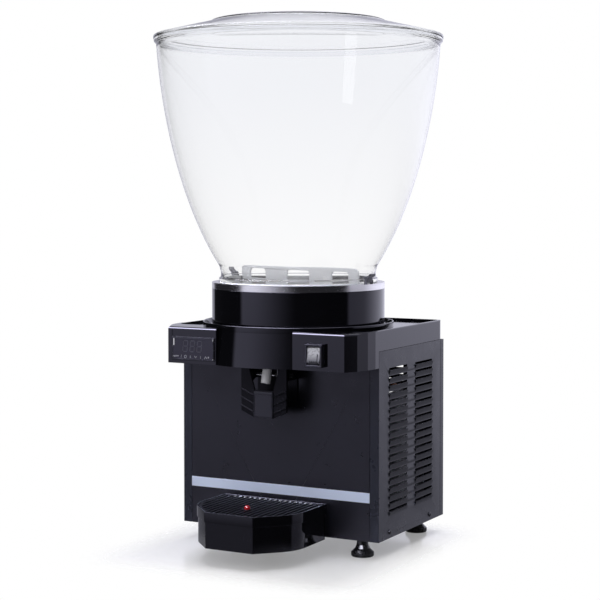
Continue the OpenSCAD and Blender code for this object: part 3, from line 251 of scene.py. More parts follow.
class Finish(Nodes):
    """A material being made: its node tree, its shader and the textures that feed it"""

    def __init__(self, name, colour, roughness, metallic=0.0, **sockets):
        self.material = bpy.data.materials.new(name)
        self.material.use_nodes = True
        super().__init__(self.material.node_tree)
        self.shader = self.tree.nodes["Principled BSDF"]
        self.colour = colour
        self.roughness = roughness
        self.bump_out = None
        self.set("Base Color", (*colour, 1))
        self.set("Roughness", roughness)
        self.set("Metallic", metallic)
        for key, value in sockets.items():
            self.set(key.replace("_", " "), value)
        self.place = self.add("ShaderNodeTexCoord").outputs["Object"]

    def set(self, socket, value):
        self.shader.inputs[socket].default_value = value

    def scaled(self, x, y, z, source=None):
        """The place on the piece, or another vector, stretched along each axis"""
        node = self.add("ShaderNodeMapping")
        node.inputs["Scale"].default_value = (x, y, z)
        self.join(source or self.place, node.inputs["Vector"])
        return node.outputs["Vector"]

    def round_axis(self, around, along):
        """A place on a turned surface: distance from the axis and height count more than the angle"""
        split = self.separate(self.place)
        radius = self.vector("LENGTH", self.scaled(1, 1, 0))
        angle = self.maths("ARCTAN2", split["Y"], split["X"])
        merged = self.add("ShaderNodeCombineXYZ")
        for key, value in zip("XYZ", (radius, split["Z"], angle)):
            self.join(value, merged.inputs[key])
        return self.scaled(along, along, around, merged.outputs["Vector"])

    def noise(self, scale, detail=2.0, source=None, rough=0.5):
        node = self.add("ShaderNodeTexNoise")
        node.inputs["Scale"].default_value = scale
        node.inputs["Detail"].default_value = detail
        node.inputs["Roughness"].default_value = rough
        self.join(source or self.place, node.inputs["Vector"])
        return node.outputs["Fac"]

    def cells(self, scale, output="Distance", source=None):
        node = self.add("ShaderNodeTexVoronoi")
        node.inputs["Scale"].default_value = scale
        self.join(source or self.place, node.inputs["Vector"])
        return node.outputs[output]

    def tint(self, value, low_in, high_in, other):
        """The base colour turns towards the other colour as the value rises"""
        factor = self.span(value, low_in, high_in, 0, 1)
        node = self.add("ShaderNodeMix", data_type="RGBA")
        self.join(factor, node.inputs["Factor"])
        socket = self.shader.inputs["Base Color"]
        if socket.is_linked:
            self.join(socket.links[0].from_socket, node.inputs["A"])
        else:
            node.inputs["A"].default_value = (*self.colour, 1)
        node.inputs["B"].default_value = (*other, 1)
        self.join(node.outputs["Result"], socket)

    def vary_roughness(self, value, low_in, high_in, spread):
        top = min(1.0, self.roughness + spread)
        bottom = max(0.0, self.roughness - spread)
        self.join(self.span(value, low_in, high_in, bottom, top), self.shader.inputs["Roughness"])

    def bump(self, value, depth, strength=1.0):
        """Relief of the given depth, laid over any relief that is there already"""
        node = self.add("ShaderNodeBump")
        node.inputs["Distance"].default_value = depth
        node.inputs["Strength"].default_value = strength
        self.join(value, node.inputs["Height"])
        if self.bump_out:
            self.join(self.bump_out, node.inputs["Normal"])
        self.bump_out = node.outputs["Normal"]
        self.join(self.bump_out, self.shader.inputs["Normal"])


def moulded(name, colour, roughness, grain=0.6 * MM, relief=0.012 * MM, smudge=0.03, **sockets):
    """Moulded plastic: a fine grain, and handling marks that change its gloss"""
    finish = Finish(name, colour, roughness, **sockets)
    marks = finish.noise(22, 4, rough=0.6)
    finish.vary_roughness(marks, 0.35, 0.7, smudge)
    finish.tint(finish.noise(9, 3), 0.45, 0.8, tuple(min(1, 1.25 * c + 0.001) for c in colour))
    finish.bump(finish.noise(1 / grain, 2), relief)
    return finish.material


def painted(name, colour, roughness, **sockets):
    """Powder coat on sheet steel: orange peel, faint clouds and a little dust"""
    finish = Finish(name, colour, roughness, **sockets)
    finish.vary_roughness(finish.noise(35, 5, rough=0.65), 0.3, 0.7, 0.045)
    finish.tint(finish.noise(7, 3), 0.42, 0.75, tuple(1.3 * c + 0.001 for c in colour))
    finish.tint(finish.noise(900, 1), 0.74, 0.8, tuple(2.2 * c + 0.01 for c in colour))
    finish.bump(finish.noise(620, 2), 0.02 * MM)
    finish.bump(finish.noise(2400, 1), 0.004 * MM)
    return finish.material


def metal(name, colour, roughness, scale=400, relief=0.006 * MM, stain=0.75, **sockets):
    """Bare metal: a fine drawn surface with slightly darker patches"""
    finish = Finish(name, colour, roughness, metallic=1.0, **sockets)
    finish.vary_roughness(finish.noise(60, 5, rough=0.7), 0.3, 0.7, 0.08)
    finish.tint(finish.noise(30, 4), 0.45, 0.8, tuple(stain * c for c in colour))
    finish.bump(finish.noise(scale, 3), relief)
    return finish.material


def zinc_plate():
    finish = Finish("zinc_steel", (0.6, 0.61, 0.62), 0.36, metallic=1.0)
    spangle = finish.cells(85, "Color")
    finish.vary_roughness(spangle, 0, 1, 0.12)
    finish.tint(spangle, 0.2, 0.9, (0.46, 0.47, 0.49))
    finish.bump(finish.noise(700, 2), 0.006 * MM)
    return finish.material


def brushed_ring():
    """Stainless steel polished round the axis, so its fine lines run round too"""
    finish = Finish("stainless", (0.8, 0.79, 0.79), 0.2, metallic=1.0)
    lines = finish.noise(1.0, 3, finish.round_axis(1.2, 2600), 0.6)
    finish.vary_roughness(lines, 0.25, 0.75, 0.09)
    finish.tint(lines, 0.35, 0.8, (0.66, 0.65, 0.66))
    finish.bump(lines, 0.01 * MM)
    return finish.material


def brushed_strip():
    """Anodised strip with fine lines along its length"""
    finish = Finish("silver_strip", (0.66, 0.745, 0.93), 0.34, metallic=0.2)
    lines = finish.noise(1.0, 3, finish.scaled(30, 1, 4200), 0.6)
    finish.vary_roughness(lines, 0.25, 0.75, 0.07)
    finish.tint(lines, 0.3, 0.8, (0.73, 0.81, 0.97))
    finish.bump(lines, 0.006 * MM)
    return finish.material


def copper_pipe():
    finish = Finish("copper", (0.72, 0.36, 0.22), 0.28, metallic=1.0)
    patches = finish.noise(45, 5, rough=0.65)
    finish.vary_roughness(patches, 0.3, 0.7, 0.12)
    finish.tint(patches, 0.45, 0.75, (0.36, 0.17, 0.1))
    finish.bump(finish.noise(500, 2), 0.008 * MM)
    return finish.material


def rigid_foam():
    finish = Finish("foam", (0.74, 0.62, 0.33), 0.85)
    bubbles = finish.cells(420)
    finish.tint(finish.noise(18, 4), 0.4, 0.75, (0.6, 0.46, 0.2))
    finish.bump(bubbles, 0.35 * MM)
    finish.bump(finish.noise(60, 3), 1.2 * MM)
    return finish.material


def clear_plastic():
    """Clear polycarbonate: slightly hazy, with painted shade that makes it darker and bluer towards the
    lid, and a trace of grey in its depth
    """
    finish = Finish("clear_tank", (0.997, 0.997, 0.998), 0.015, IOR=1.38)
    finish.set("Transmission Weight", 1.0)
    finish.set("Specular Tint", (0.5, 0.5, 0.5, 1))
    rim_z = high("evaporator_bowl").z
    height = finish.separate(finish.place)["Z"]
    # Painted shade: the base colour turns darker and bluer from above the bowl's rim up to the lid
    finish.tint(height, rim_z + 40 * MM, rim_z + 300 * MM, (0.952, 0.958, 0.975))
    finish.vary_roughness(finish.noise(14, 4, rough=0.6), 0.45, 0.8, 0.015)
    finish.bump(finish.noise(28, 2), 0.02 * MM)
    depth = finish.add("ShaderNodeVolumeAbsorption")
    depth.inputs["Color"].default_value = (0.6, 0.61, 0.68, 1)
    depth.inputs["Density"].default_value = 6.5
    output = finish.tree.nodes["Material Output"]
    finish.join(depth.outputs["Volume"], output.inputs["Volume"])
    return finish.material


def blade_plastic():
    """Pale translucent plastic of the mixing blade"""
    finish = Finish("blade_plastic", (0.9, 0.91, 0.95), 0.32, IOR=1.5)
    finish.set("Transmission Weight", 0.25)
    finish.vary_roughness(finish.noise(30, 4), 0.35, 0.7, 0.05)
    finish.tint(finish.noise(12, 3), 0.45, 0.8, (0.78, 0.8, 0.85))
    finish.bump(finish.noise(900, 2), 0.01 * MM)
    return finish.material


def rocker_cap():
    """The rocker under its clear splash cap: frosted, with painted light that makes it brighter above and
    darker below
    """
    finish = Finish("rocker_clear", (0.16, 0.16, 0.19), 0.16)
    height = finish.separate(finish.place)["Z"]
    middle = (low("rocker").z + high("rocker").z) / 2
    # Painted highlight and shade: the cap is tinted light above its middle and stays dark below it
    finish.tint(height, middle - 7 * MM, middle + 3 * MM, (0.66, 0.66, 0.72))
    finish.tint(finish.noise(330, 3, rough=0.6), 0.5, 0.72, (0.2, 0.2, 0.24))
    finish.vary_roughness(finish.noise(200, 3), 0.35, 0.7, 0.08)
    finish.bump(finish.noise(500, 2), 0.03 * MM)
    return finish.material


black_tint = (0.86, 0.84, 1.0, 1)

finishes = {
    "zinc_steel": zinc_plate(),
    "front_paint": painted("front_paint", (0.003, 0.003, 0.0042), 0.31, Specular_Tint=black_tint),
    "charcoal_paint": painted("charcoal_paint", (0.009, 0.0105, 0.015), 0.3, Specular_IOR_Level=0.42,
                              Specular_Tint=black_tint),
    "silver_strip": brushed_strip(),
    "screw_black": metal("screw_black", (0.05, 0.05, 0.055), 0.3),
    "black_gloss": moulded("black_gloss", (0.0025, 0.0025, 0.0035), 0.07, grain=9 * MM,
                           relief=0.012 * MM, smudge=0.02, Specular_Tint=black_tint),
    "black_satin": moulded("black_satin", (0.006, 0.006, 0.008), 0.28, Specular_Tint=black_tint),
    "stainless": brushed_ring(),
    "copper": copper_pipe(),
    "foam": rigid_foam(),
    "seal": moulded("seal", (0.55, 0.57, 0.6), 0.45, grain=1.2 * MM),
    "clip_grey": moulded("clip_grey", (0.07, 0.07, 0.085), 0.34),
    "compressor_paint": painted("compressor_paint", (0.008, 0.008, 0.009), 0.22),
    "grommet_rubber": moulded("grommet_rubber", (0.02, 0.02, 0.02), 0.7, relief=0.03 * MM),
    "fin_aluminium": metal("fin_aluminium", (0.78, 0.79, 0.8), 0.33),
    "grey_steel": metal("grey_steel", (0.4, 0.41, 0.43), 0.4),
    "motor_case": painted("motor_case", (0.05, 0.052, 0.056), 0.35),
    "fan_plastic": moulded("fan_plastic", (0.015, 0.015, 0.017), 0.42),
    "magnet": metal("magnet", (0.2, 0.2, 0.21), 0.45),
    "white_plastic": moulded("white_plastic", (0.78, 0.78, 0.77), 0.35),
    "blade_plastic": blade_plastic(),
    "display": moulded("display", (0.012, 0.011, 0.02), 0.12, grain=4 * MM, Specular_Tint=black_tint),
    "rocker_clear": rocker_cap(),
    "hose_white": moulded("hose_white", (0.7, 0.7, 0.74), 0.3, grain=1 * MM),
    "steel_pin": metal("steel_pin", (0.6, 0.6, 0.61), 0.25),
    "float_red": moulded("float_red", (0.55, 0.012, 0.02), 0.14, grain=2 * MM),
    "clear_tank": clear_plastic(),
    "foot_black": moulded("foot_black", (0.005, 0.005, 0.006), 0.2, grain=1.4 * MM),
}

# Finishes of single pieces that differ a little from the rest of their slot
lever_black = moulded("lever_black", (0.003, 0.003, 0.004), 0.3, Specular_IOR_Level=0.13,
                      Specular_Tint=black_tint)
pad_black = moulded("pad_black", (0.008, 0.008, 0.0105), 0.34, Specular_Tint=black_tint)
bezel_black = moulded("bezel_black", (0.012, 0.012, 0.016), 0.3, Specular_Tint=black_tint)
unlit_grey = moulded("unlit_grey", (0.03, 0.03, 0.042), 0.35)
sign_white = moulded("sign_white", (0.34, 0.34, 0.38), 0.4)
# White of the controller's light mark, also used for the painted highlights on its frame
mark_and_highlight_white = moulded("mark_and_highlight_white", (0.7, 0.7, 0.74), 0.35)
# Dark of the rocker's dots, also used for the painted shadow along its right side
dot_and_shade_dark = moulded("dot_and_shade_dark", (0.015, 0.015, 0.02), 0.25)
# Light grey on the black grille's bar ends: a painted highlight on the domes' rounded tops
knuckle_painted_highlight = moulded("knuckle_painted_highlight", (0.5, 0.5, 0.53), 0.16, grain=3 * MM)
grille_black = moulded("grille_black", (0.002, 0.002, 0.003), 0.5, Specular_IOR_Level=0.08,
                       Specular_Tint=black_tint)


# Making and shaping meshes


def link_mesh(name, mesh, finish, smooth=35, material=None):
    """An object from a bmesh, smooth up to the given angle in degrees, in a named finish"""
    bmesh.ops.recalc_face_normals(mesh, faces=mesh.faces)
    data = bpy.data.meshes.new(name)
    mesh.to_mesh(data)
    mesh.free()
    data.shade_smooth()
    data.set_sharp_from_angle(angle=math.radians(smooth))
    data.materials.append(material or finishes[finish])
    thing = bpy.data.objects.new(name, data)
    scene.collection.objects.link(thing)
    return thing


def rounded(corners, steps=5):
    """An outline of (x, y, fillet) corners, with each fillet drawn as a short curve"""
    line = []
    count = len(corners)
    for i, (x, y, fillet) in enumerate(corners):
        here = Vector((x, y))
        if fillet <= 0:
            line.append(here)
            continue
        before = Vector(corners[i - 1][:2]) - here
        after = Vector(corners[(i + 1) % count][:2]) - here
        a = here + before.normalized() * min(fillet, 0.45 * before.length)
        b = here + after.normalized() * min(fillet, 0.45 * after.length)
        for k in range(steps + 1):
            t = k / steps
            line.append((1 - t) ** 2 * a + 2 * t * (1 - t) * here + t * t * b)
    return line


def lathe(name, outline, finish, steps=288, smooth=35):
    """A closed outline of (radius, height) points turned round the Z axis"""
    mesh = bmesh.new()
    rings = []
    for r, z in outline:
        if r < 1e-6:
            rings.append([mesh.verts.new((0, 0, z))])
            continue
        turns = [2 * math.pi * k / steps for k in range(steps)]
        rings.append([mesh.verts.new((r * math.cos(a), r * math.sin(a), z)) for a in turns])
    for a, b in zip(rings, rings[1:] + rings[:1]):
        for k in range(steps):
            n = (k + 1) % steps
            if len(a) == 1 and len(b) == 1:
                break
            if len(a) == 1:
                mesh.faces.new((a[0], b[n], b[k]))
            elif len(b) == 1:
                mesh.faces.new((a[k], a[n], b[0]))
            else:
                mesh.faces.new((a[k], a[n], b[n], b[k]))
    return link_mesh(name, mesh, finish, smooth)


def soften(node, width, segments=2, angle=32):
    """Real edge roundings on a CAD node, by modifiers alone"""
    piece = nodes[node]
    weld = piece.modifiers.new("weld", "WELD")
    weld.merge_threshold = 0.004 * MM
    bevel = piece.modifiers.new("bevel", "BEVEL")
    bevel.width = width
    bevel.segments = segments
    bevel.limit_method = "ANGLE"
    bevel.angle_limit = math.radians(angle)
    bevel.use_clamp_overlap = False
    bevel.harden_normals = False
    shade = piece.modifiers.new("shade", "WEIGHTED_NORMAL")
    shade.mode = "FACE_AREA_WITH_ANGLE"
    shade.weight = 50
    shade.keep_sharp = False


# CAD nodes: finish and edges

# Width in millimetres of the roundings on each node's edges
edges = {
    "collar": 0.4, "drip_ring": 0.25, "front_panel": 0.4, "side_panel_left": 0.25,
    "side_panel_right": 0.25, "rear_panel": 0.25, "label_strip": 0.12, "tray_bracket": 0.3,
    "drip_tray": 0.45, "drip_grille": 0.35, "tap_body": 0.35, "tap_lever": 0.4, "thermostat_body": 0.4,
    "switch_body": 0.5, "rocker": 0.4, "mixer_blade": 0.4, "tank_clip_left": 0.3, "tank_clip_right": 0.3,
    "clip_brackets": 0.25, "base_pan": 0.25, "cable_gland": 0.4, "motor_bracket": 0.3,
}


def dress_nodes():
    for name, piece in nodes.items():
        for place in piece.material_slots:
            place.material = finishes[place.material.name.split(".")[0]]
    for node, width in edges.items():
        soften(node, width * MM)
    nodes["switch_body"].material_slots[0].material = bezel_black
    for node in ("tap_lever", "tap_body"):
        nodes[node].material_slots[0].material = lever_black
    nodes["drip_grille"].material_slots[0].material = grille_black


# Clear tank and lid


def tank_outline():
    """The tank's section: foot, neck, flare, mouth with its flange, and the inside"""
    z0, z1 = low("tank").z, high("tank").z
    rim = high("tank").x - 0.02 * MM
    mouth = rim - 3.6 * MM
    foot = 121.6 * MM
    neck = foot - 3.2 * MM
    neck_top = z0 + 13.6 * MM
    wall = 3.2 * MM
    start = Vector((neck + 2.8 * MM, neck_top + 9.7 * MM))
    end = Vector((mouth, z1 - 8 * MM))
    lower_handle = start + 79 * MM * Vector((0.63, 1))
    upper_handle = end - 135 * MM * Vector((0.07, 1))
    steps = 72
    flare = []
    for i in range(steps + 1):
        t = i / steps
        s = 1 - t
        pull = 3 * s * s * t * lower_handle + 3 * s * t * t * upper_handle
        flare.append(s ** 3 * start + pull + t ** 3 * end)
    base = rounded([
        (foot - 4.5 * MM, z0, 0.0), (foot, z0, 0.5 * MM), (foot, z0 + 5 * MM, 1.2 * MM),
        (neck + 0.6 * MM, z0 + 6.6 * MM, 1.0 * MM), (neck, neck_top, 5 * MM), (start.x, start.y, 0.0)
    ])
    brim = rounded([
        (end.x, end.y, 0.0), (mouth + 0.6 * MM, z1 - 7 * MM, 0.8 * MM), (rim, z1 - 4 * MM, 1.2 * MM),
        (rim, z1, 1.0 * MM), (mouth - wall, z1, 0.8 * MM), (mouth - wall, end.y, 0.0)
    ])
    inside = [p - Vector((wall, 0)) for p in reversed(flare)]
    bottom = rounded([
        (start.x - wall, start.y, 0.0), (neck - wall, neck_top, 5 * MM), (neck - wall, z0, 0.5 * MM),
        (foot - 4.5 * MM, z0, 0.0)
    ])
    return base[:-1] + flare + brim[1:-1] + inside + bottom[1:-1]


def lid_outline():
    """The lid's section: a cone that rises to a low raised middle, and the plug in the tank's mouth"""
    z0 = low("lid").z + 6 * MM
    rim = high("lid").x - 0.02 * MM
    height = high("lid").z - z0 - 0.6 * MM
    step = 133 * MM
    wall = 3 * MM
    edge = 4.2 * MM
    shoulder = height - 4.6 * MM
    plug = rim - 8.4 * MM
    inner = plug - 2.5 * MM
    under = edge + (rim - inner) * (shoulder - edge) / (rim - step - 1.5 * MM) - wall
    corners = [
        (0, height + 0.58 * MM, 0), (step - 8 * MM, height, 5), (step, shoulder + 2.6 * MM, 1.2),
        (step + 1.5 * MM, shoulder, 1.6), (rim, edge, 1.6), (rim, 0, 0.6), (plug, 0, 0.3),
        (plug, -6 * MM, 0.8), (inner, -6 * MM, 0.8), (inner, under, 1.5), (step, shoulder - wall, 1.6),
        (step - 2 * MM, shoulder + 2.6 * MM - wall, 1.2), (step - 9 * MM, height - wall, 5),
        (0, height + 0.6 * MM - wall, 0)
    ]
    return rounded([(x, z0 + z, fillet * MM) for x, z, fillet in corners])


def add_tank():
    tank = lathe("clear_tank_shell", tank_outline(), "clear_tank", smooth=50)
    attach(tank, "tank")
    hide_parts("tank")
    lid = lathe("clear_lid_shell", lid_outline(), "clear_tank", smooth=50)
    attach(lid, "lid")
    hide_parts("lid")
    for shell in (tank, lid):
        shell.visible_shadow = False
    add_glint((tank, lid))


# Screws

# Radius and height of a screw's head and its outline of (radius, height), in millimetres
head_r = 3.5
head_top = 1.97
screw_profile = [(1.5, -8.0), (1.5, 0.0), (3.3, 0.0), (head_r, 0.25), (3.45, 0.9), (3.1, 1.5),
                 (2.5, 1.86), (2.1, head_top)]


def cross_screw(mesh, matrix):
    """A pan head with a cross recess and its shank, along the matrix's Z axis"""
    steps = 32
    arm, half, deep = 1.7 * MM, 0.42 * MM, 1.1 * MM
    narrowing = 0.7

    def point(x, y, z):
        return mesh.verts.new(matrix @ Vector((x, y, z)))

    turns = [2 * math.pi * k / steps for k in range(steps)]
    rings = []
    for r, z in screw_profile:
        rings.append([point(r * MM * math.cos(a), r * MM * math.sin(a), z * MM) for a in turns])
    mesh.faces.new(reversed(rings[0]))
    for a, b in zip(rings, rings[1:]):
        for k in range(steps):
            n = (k + 1) % steps
            mesh.faces.new((a[k], a[n], b[n], b[k]))
    quarter = [(arm, -half), (arm, half), (half, half)]
    cross = []
    for turn in range(4):
        for x, y in quarter:
            for _ in range(turn):
                x, y = -y, x
            cross.append((x, y))
    top = [point(x, y, head_top * MM) for x, y in cross]
    floor = [point(narrowing * x, narrowing * y, head_top * MM - deep) for x, y in cross]
    rim = [mesh.edges.get((a, b)) for a, b in zip(rings[-1], rings[-1][1:] + rings[-1][:1])]
    inner = [mesh.edges.new((a, b)) for a, b in zip(top, top[1:] + top[:1])]
    bmesh.ops.triangle_fill(mesh, edges=rim + inner, use_beauty=True)
    for k in range(len(cross)):
        n = (k + 1) % len(cross)
        mesh.faces.new((top[k], top[n], floor[n], floor[k]))
    mesh.faces.new(floor)


def add_screws():
    """Screws of the side panels, the rear panel and the tray's bracket, each turned to its own angle"""
    box_low, box_high = low("panel_screws"), high("panel_screws")
    head = 2 * MM
    side = box_high.x - head
    back = box_high.y - head
    level = box_low.z + head_r * MM
    rear_x = 137.5 * MM
    bracket_x, bracket_y = 20 * MM, -66 * MM
    turn_step = 1.9
    seats = []
    for sign in (-1, 1):
        for y in (-27 * MM, 120 * MM):
            seats.append(((sign * side, y, level), (sign, 0, 0)))
        seats.append(((sign * rear_x, back, level), (0, 1, 0)))
        for z in (48 * MM, 60 * MM):
            seats.append(((sign * bracket_x, bracket_y, z), (0, -1, 0)))
    mesh = bmesh.new()
    for count, (seat, way) in enumerate(seats):
        turn = Vector(way).to_track_quat("Z", "Y").to_matrix().to_4x4()
        spin = Matrix.Rotation(turn_step * count, 4, "Z")
        cross_screw(mesh, Matrix.Translation(seat) @ turn @ spin)
    screws = link_mesh("cross_screws", mesh, "screw_black", smooth=30)
    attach(screws, "cabinet")
    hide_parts("panel_screws")


# Flat shapes on the front, with outlines in millimetres


def slab(mesh, outline, y, depth):
    """A thin shape that stands out of a face at y towards -Y, with its outline in X and Z"""
    back = [mesh.verts.new((x * MM, y, z * MM)) for x, z in outline]
    front = [mesh.verts.new((x * MM, y - depth, z * MM)) for x, z in outline]
    mesh.faces.new(back)
    mesh.faces.new(front)
    for k in range(len(outline)):
        n = (k + 1) % len(outline)
        mesh.faces.new((back[k], back[n], front[n], front[k]))


def band(mesh, outer, inner, y, depth):
    """A closed flat band between two outlines with as many points, standing out like a slab"""
    loops = [[mesh.verts.new((x * MM, at, z * MM)) for x, z in line]
             for line, at in ((outer, y), (outer, y - depth), (inner, y - depth), (inner, y))]
    for a, b in zip(loops, loops[1:] + loops[:1]):
        for k in range(len(a)):
            n = (k + 1) % len(a)
            mesh.faces.new((a[k], a[n], b[n], b[k]))


def rectangle(x, z, half_x, half_z, fillet=0.0):
    corners = [(x - half_x, z - half_z), (x + half_x, z - half_z), (x + half_x, z + half_z),
               (x - half_x, z + half_z)]
    if fillet <= 0:
        return corners
    return [tuple(p) for p in rounded([(cx, cz, fillet) for cx, cz in corners])]


def circle(x, z, r, steps=24):
    turns = [2 * math.pi * k / steps for k in range(steps)]
    return [(x + r * math.cos(a), z + r * math.sin(a)) for a in turns]


def stroke(a, b, half):
    """A straight bar between two points, with its ends cut square"""
    way = (Vector(b) - Vector(a)).normalized() * half
    over = Vector((-way.y, way.x))
    return [tuple(Vector(a) - way - over), tuple(Vector(b) + way - over),
            tuple(Vector(b) + way + over), tuple(Vector(a) - way + over)]


def between(a, b):
    """The middle of two places given in metres, in millimetres"""
    return (a + b) / 2 / MM


def digit(x, z, wide, tall, half):
    """The seven bars of one digit, leaning to the right, from its lower left corner"""
    lean = 0.1
    gap = 0.35
    middle = z + tall / 2
    top = z + tall

    def bar(x0, z0, x1, z1):
        along = (Vector((x1, z1)) - Vector((x0, z0))).normalized()
        over = Vector((-along.y, along.x)) * half
        a = Vector((x0, z0)) + along * gap
        b = Vector((x1, z1)) - along * gap
        points = (a, a + along * half + over, b - along * half + over, b, b - along * half - over,
                  a + along * half - over)
        return [(p.x + lean * (p.y - z), p.y) for p in points]

    right = x + wide
    return [bar(x, z, right, z), bar(x, middle, right, middle), bar(x, top, right, top),
            bar(x, z, x, middle), bar(x, middle, x, top), bar(right, z, right, middle),
            bar(right, middle, right, top)]


def face_piece(name, body, slot, material, y, slabs=(), bands=(), depth=0.12):
    """An object of slabs and bands on a face at y that looks to -Y"""
    mesh = bmesh.new()
    for outline in slabs:
        slab(mesh, outline, y, depth * MM)
    for outer, inner in bands:
        band(mesh, outer, inner, y, depth * MM)
    piece = link_mesh(name, mesh, slot, smooth=20, material=material)
    bevel = piece.modifiers.new("bevel", "BEVEL")
    bevel.width = 0.3 * depth * MM
    bevel.segments = 1
    bevel.limit_method = "ANGLE"
    bevel.angle_limit = math.radians(40)
    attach(piece, body)
    return piece


# Temperature controller


def add_controller():
    """Frame, three unlit digits, a light mark, plain signs and two painted highlights on the controller's
    face
    """
    face_low, face_high = low("thermostat_face"), high("thermostat_face")
    y = face_low.y
    x = between(face_low.x, face_high.x)
    z = between(face_low.z, face_high.z)
    wide = face_high.x / MM - x
    tall = face_high.z / MM - z
    border = 1.5
    frame_depth = 0.45
    outer = rectangle(x, z, wide, tall, 1.6)
    inner = rectangle(x, z, wide - border, tall - border, 1.2)
    face_piece("controller_frame", "cabinet", "display", bezel_black, y, bands=[(outer, inner)],
               depth=frame_depth)
    digit_x = x - 17.4
    digit_pitch = 12.2
    bars = []
    for k in range(3):
        bars += digit(digit_x + digit_pitch * k, z - 4.3, 7.6, 16.2, 0.75)
    face_piece("unlit_digits", "cabinet", "display", unlit_grey, y, bars)
    row = z - 11.9
    signs = [
        rectangle(x - 34.6, row + 0.2, 1.0, 0.8), rectangle(x - 31.8, row - 0.1, 0.9, 1.1),
        rectangle(x - 29.3, row + 0.3, 0.8, 1.0), rectangle(x - 26.2, row + 0.4, 1.7, 0.7),
        stroke((x - 20.6, row - 1.5), (x - 19.6, row + 2.1), 0.3),
        rectangle(x - 4.2, row, 0.4, 1.9),
        stroke((x + 3.6, row + 1.0), (x + 5.2, row - 1.2), 0.42),
        stroke((x + 5.2, row - 1.2), (x + 6.8, row + 1.0), 0.42),
        rectangle(x + 13.7, row, 0.4, 1.9),
        stroke((x + 20.6, row - 1.6), (x + 22.6, row + 1.4), 0.42),
        stroke((x + 22.6, row + 1.4), (x + 24.6, row - 1.6), 0.42),
        rectangle(x + 27.4, row + 0.3, 1.1, 1.2, 0.5)
    ]
    ring_x = x - 12.7
    ring = (circle(ring_x, row, 2.3), circle(ring_x, row, 1.6))
    face_piece("controller_signs", "cabinet", "display", sign_white, y, signs, [ring])
    mark = rectangle(x - 33.2, z + 9.7, 1.1, 5.2, 0.5)
    face_piece("light_mark", "cabinet", "display", mark_and_highlight_white, y, [mark])
    # Two white spots on the frame's right corners: painted highlights of the frame's corner bevel
    spot_x = x + wide - 0.9
    spots = [rectangle(spot_x, z + tall - 2.4, 0.45, 1.6, 0.3),
             rectangle(spot_x, z - tall + 1.6, 0.4, 0.9, 0.3)]
    face_piece("frame_glints", "cabinet", "display", mark_and_highlight_white, y - frame_depth * MM, spots, depth=0.05)


# Rocker


def add_rocker_marks():
    """Four dark dots low on the rocker, and a line of painted shade up its right side made of short pads"""
    piece = nodes["rocker"]
    rocker_low, rocker_high = low("rocker"), high("rocker")
    x0 = between(rocker_low.x, rocker_high.x)
    z0 = between(rocker_low.z, rocker_high.z)
    inward = Vector((0, 1, 0))
    before = rocker_low.y - 20 * MM

    def surface(x, z):
        """The place where the rocker is met from the front, and its normal there"""
        hit, place, normal, _ = piece.ray_cast(Vector((x * MM, before, z * MM)), inward)
        if not hit:
            raise SystemExit("no rocker surface at %.1f, %.1f" % (x, z))
        return place, normal

    def pad(mesh, outline, depth):
        """A thin pad that lies on the rocker's surface and reaches a little into it"""
        back, front = [], []
        for x, z in outline:
            place, normal = surface(x, z)
            back.append(mesh.verts.new(place + 0.05 * MM * inward))
            front.append(mesh.verts.new(place + depth * MM * normal))
        mesh.faces.new(back)
        mesh.faces.new(front)
        for k in range(len(outline)):
            n = (k + 1) % len(outline)
            mesh.faces.new((back[k], back[n], front[n], front[k]))

    def marks(name, outlines, depth):
        mesh = bmesh.new()
        for outline in outlines:
            pad(mesh, outline, depth)
        return link_mesh(name, mesh, "rocker_clear", smooth=20, material=dot_and_shade_dark)

    row = [rectangle(x0 - 5.1 + 3.4 * k, z0 - 8.6, 1.1, 1.2, 0.4) for k in range(4)]
    dots = marks("rocker_dots", row, 0.45)
    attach(dots, "rocker")
    # Painted shadow along the rocker's right side, made of dark pads
    line = [rectangle(x0 + 6.4, z0 - 9.6 + 2.2 * k, 0.9, 1.1) for k in range(6)]
    shade = marks("rocker_shade", line, 0.35)
    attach(shade, "rocker")


# Press pad


def add_pad():
    """A frame on the lever's pad, a plain plate inside it and a grey ridge along the frame's top"""
    box_low = low("tap_lever")
    y = box_low.y + 0.2 * MM
    half = 16.2
    half_tall = 19.5
    middle = box_low.z / MM + half_tall
    panel = middle - 1.2
    frame_depth = 0.6
    outer = rectangle(0, middle, half - 0.4, half_tall - 0.4, 1.2)
    inner = rectangle(0, panel, half - 1.6, half_tall - 2.6, 1.0)
    face_piece("pad_frame", "lever", "black_satin", pad_black, y, bands=[(outer, inner)], depth=frame_depth)
    plate = rectangle(0, panel, half - 2.2, half_tall - 3.2, 0.8)
    face_piece("pad_plate", "lever", "black_satin", pad_black, y, [plate], depth=0.35)
    ridge = rectangle(0, middle + half_tall - 1.1, half - 1.0, 0.5, 0.3)
    face_piece("pad_ridge", "lever", "black_satin", unlit_grey, y - frame_depth * MM, [ridge], depth=0.3)


# Grille


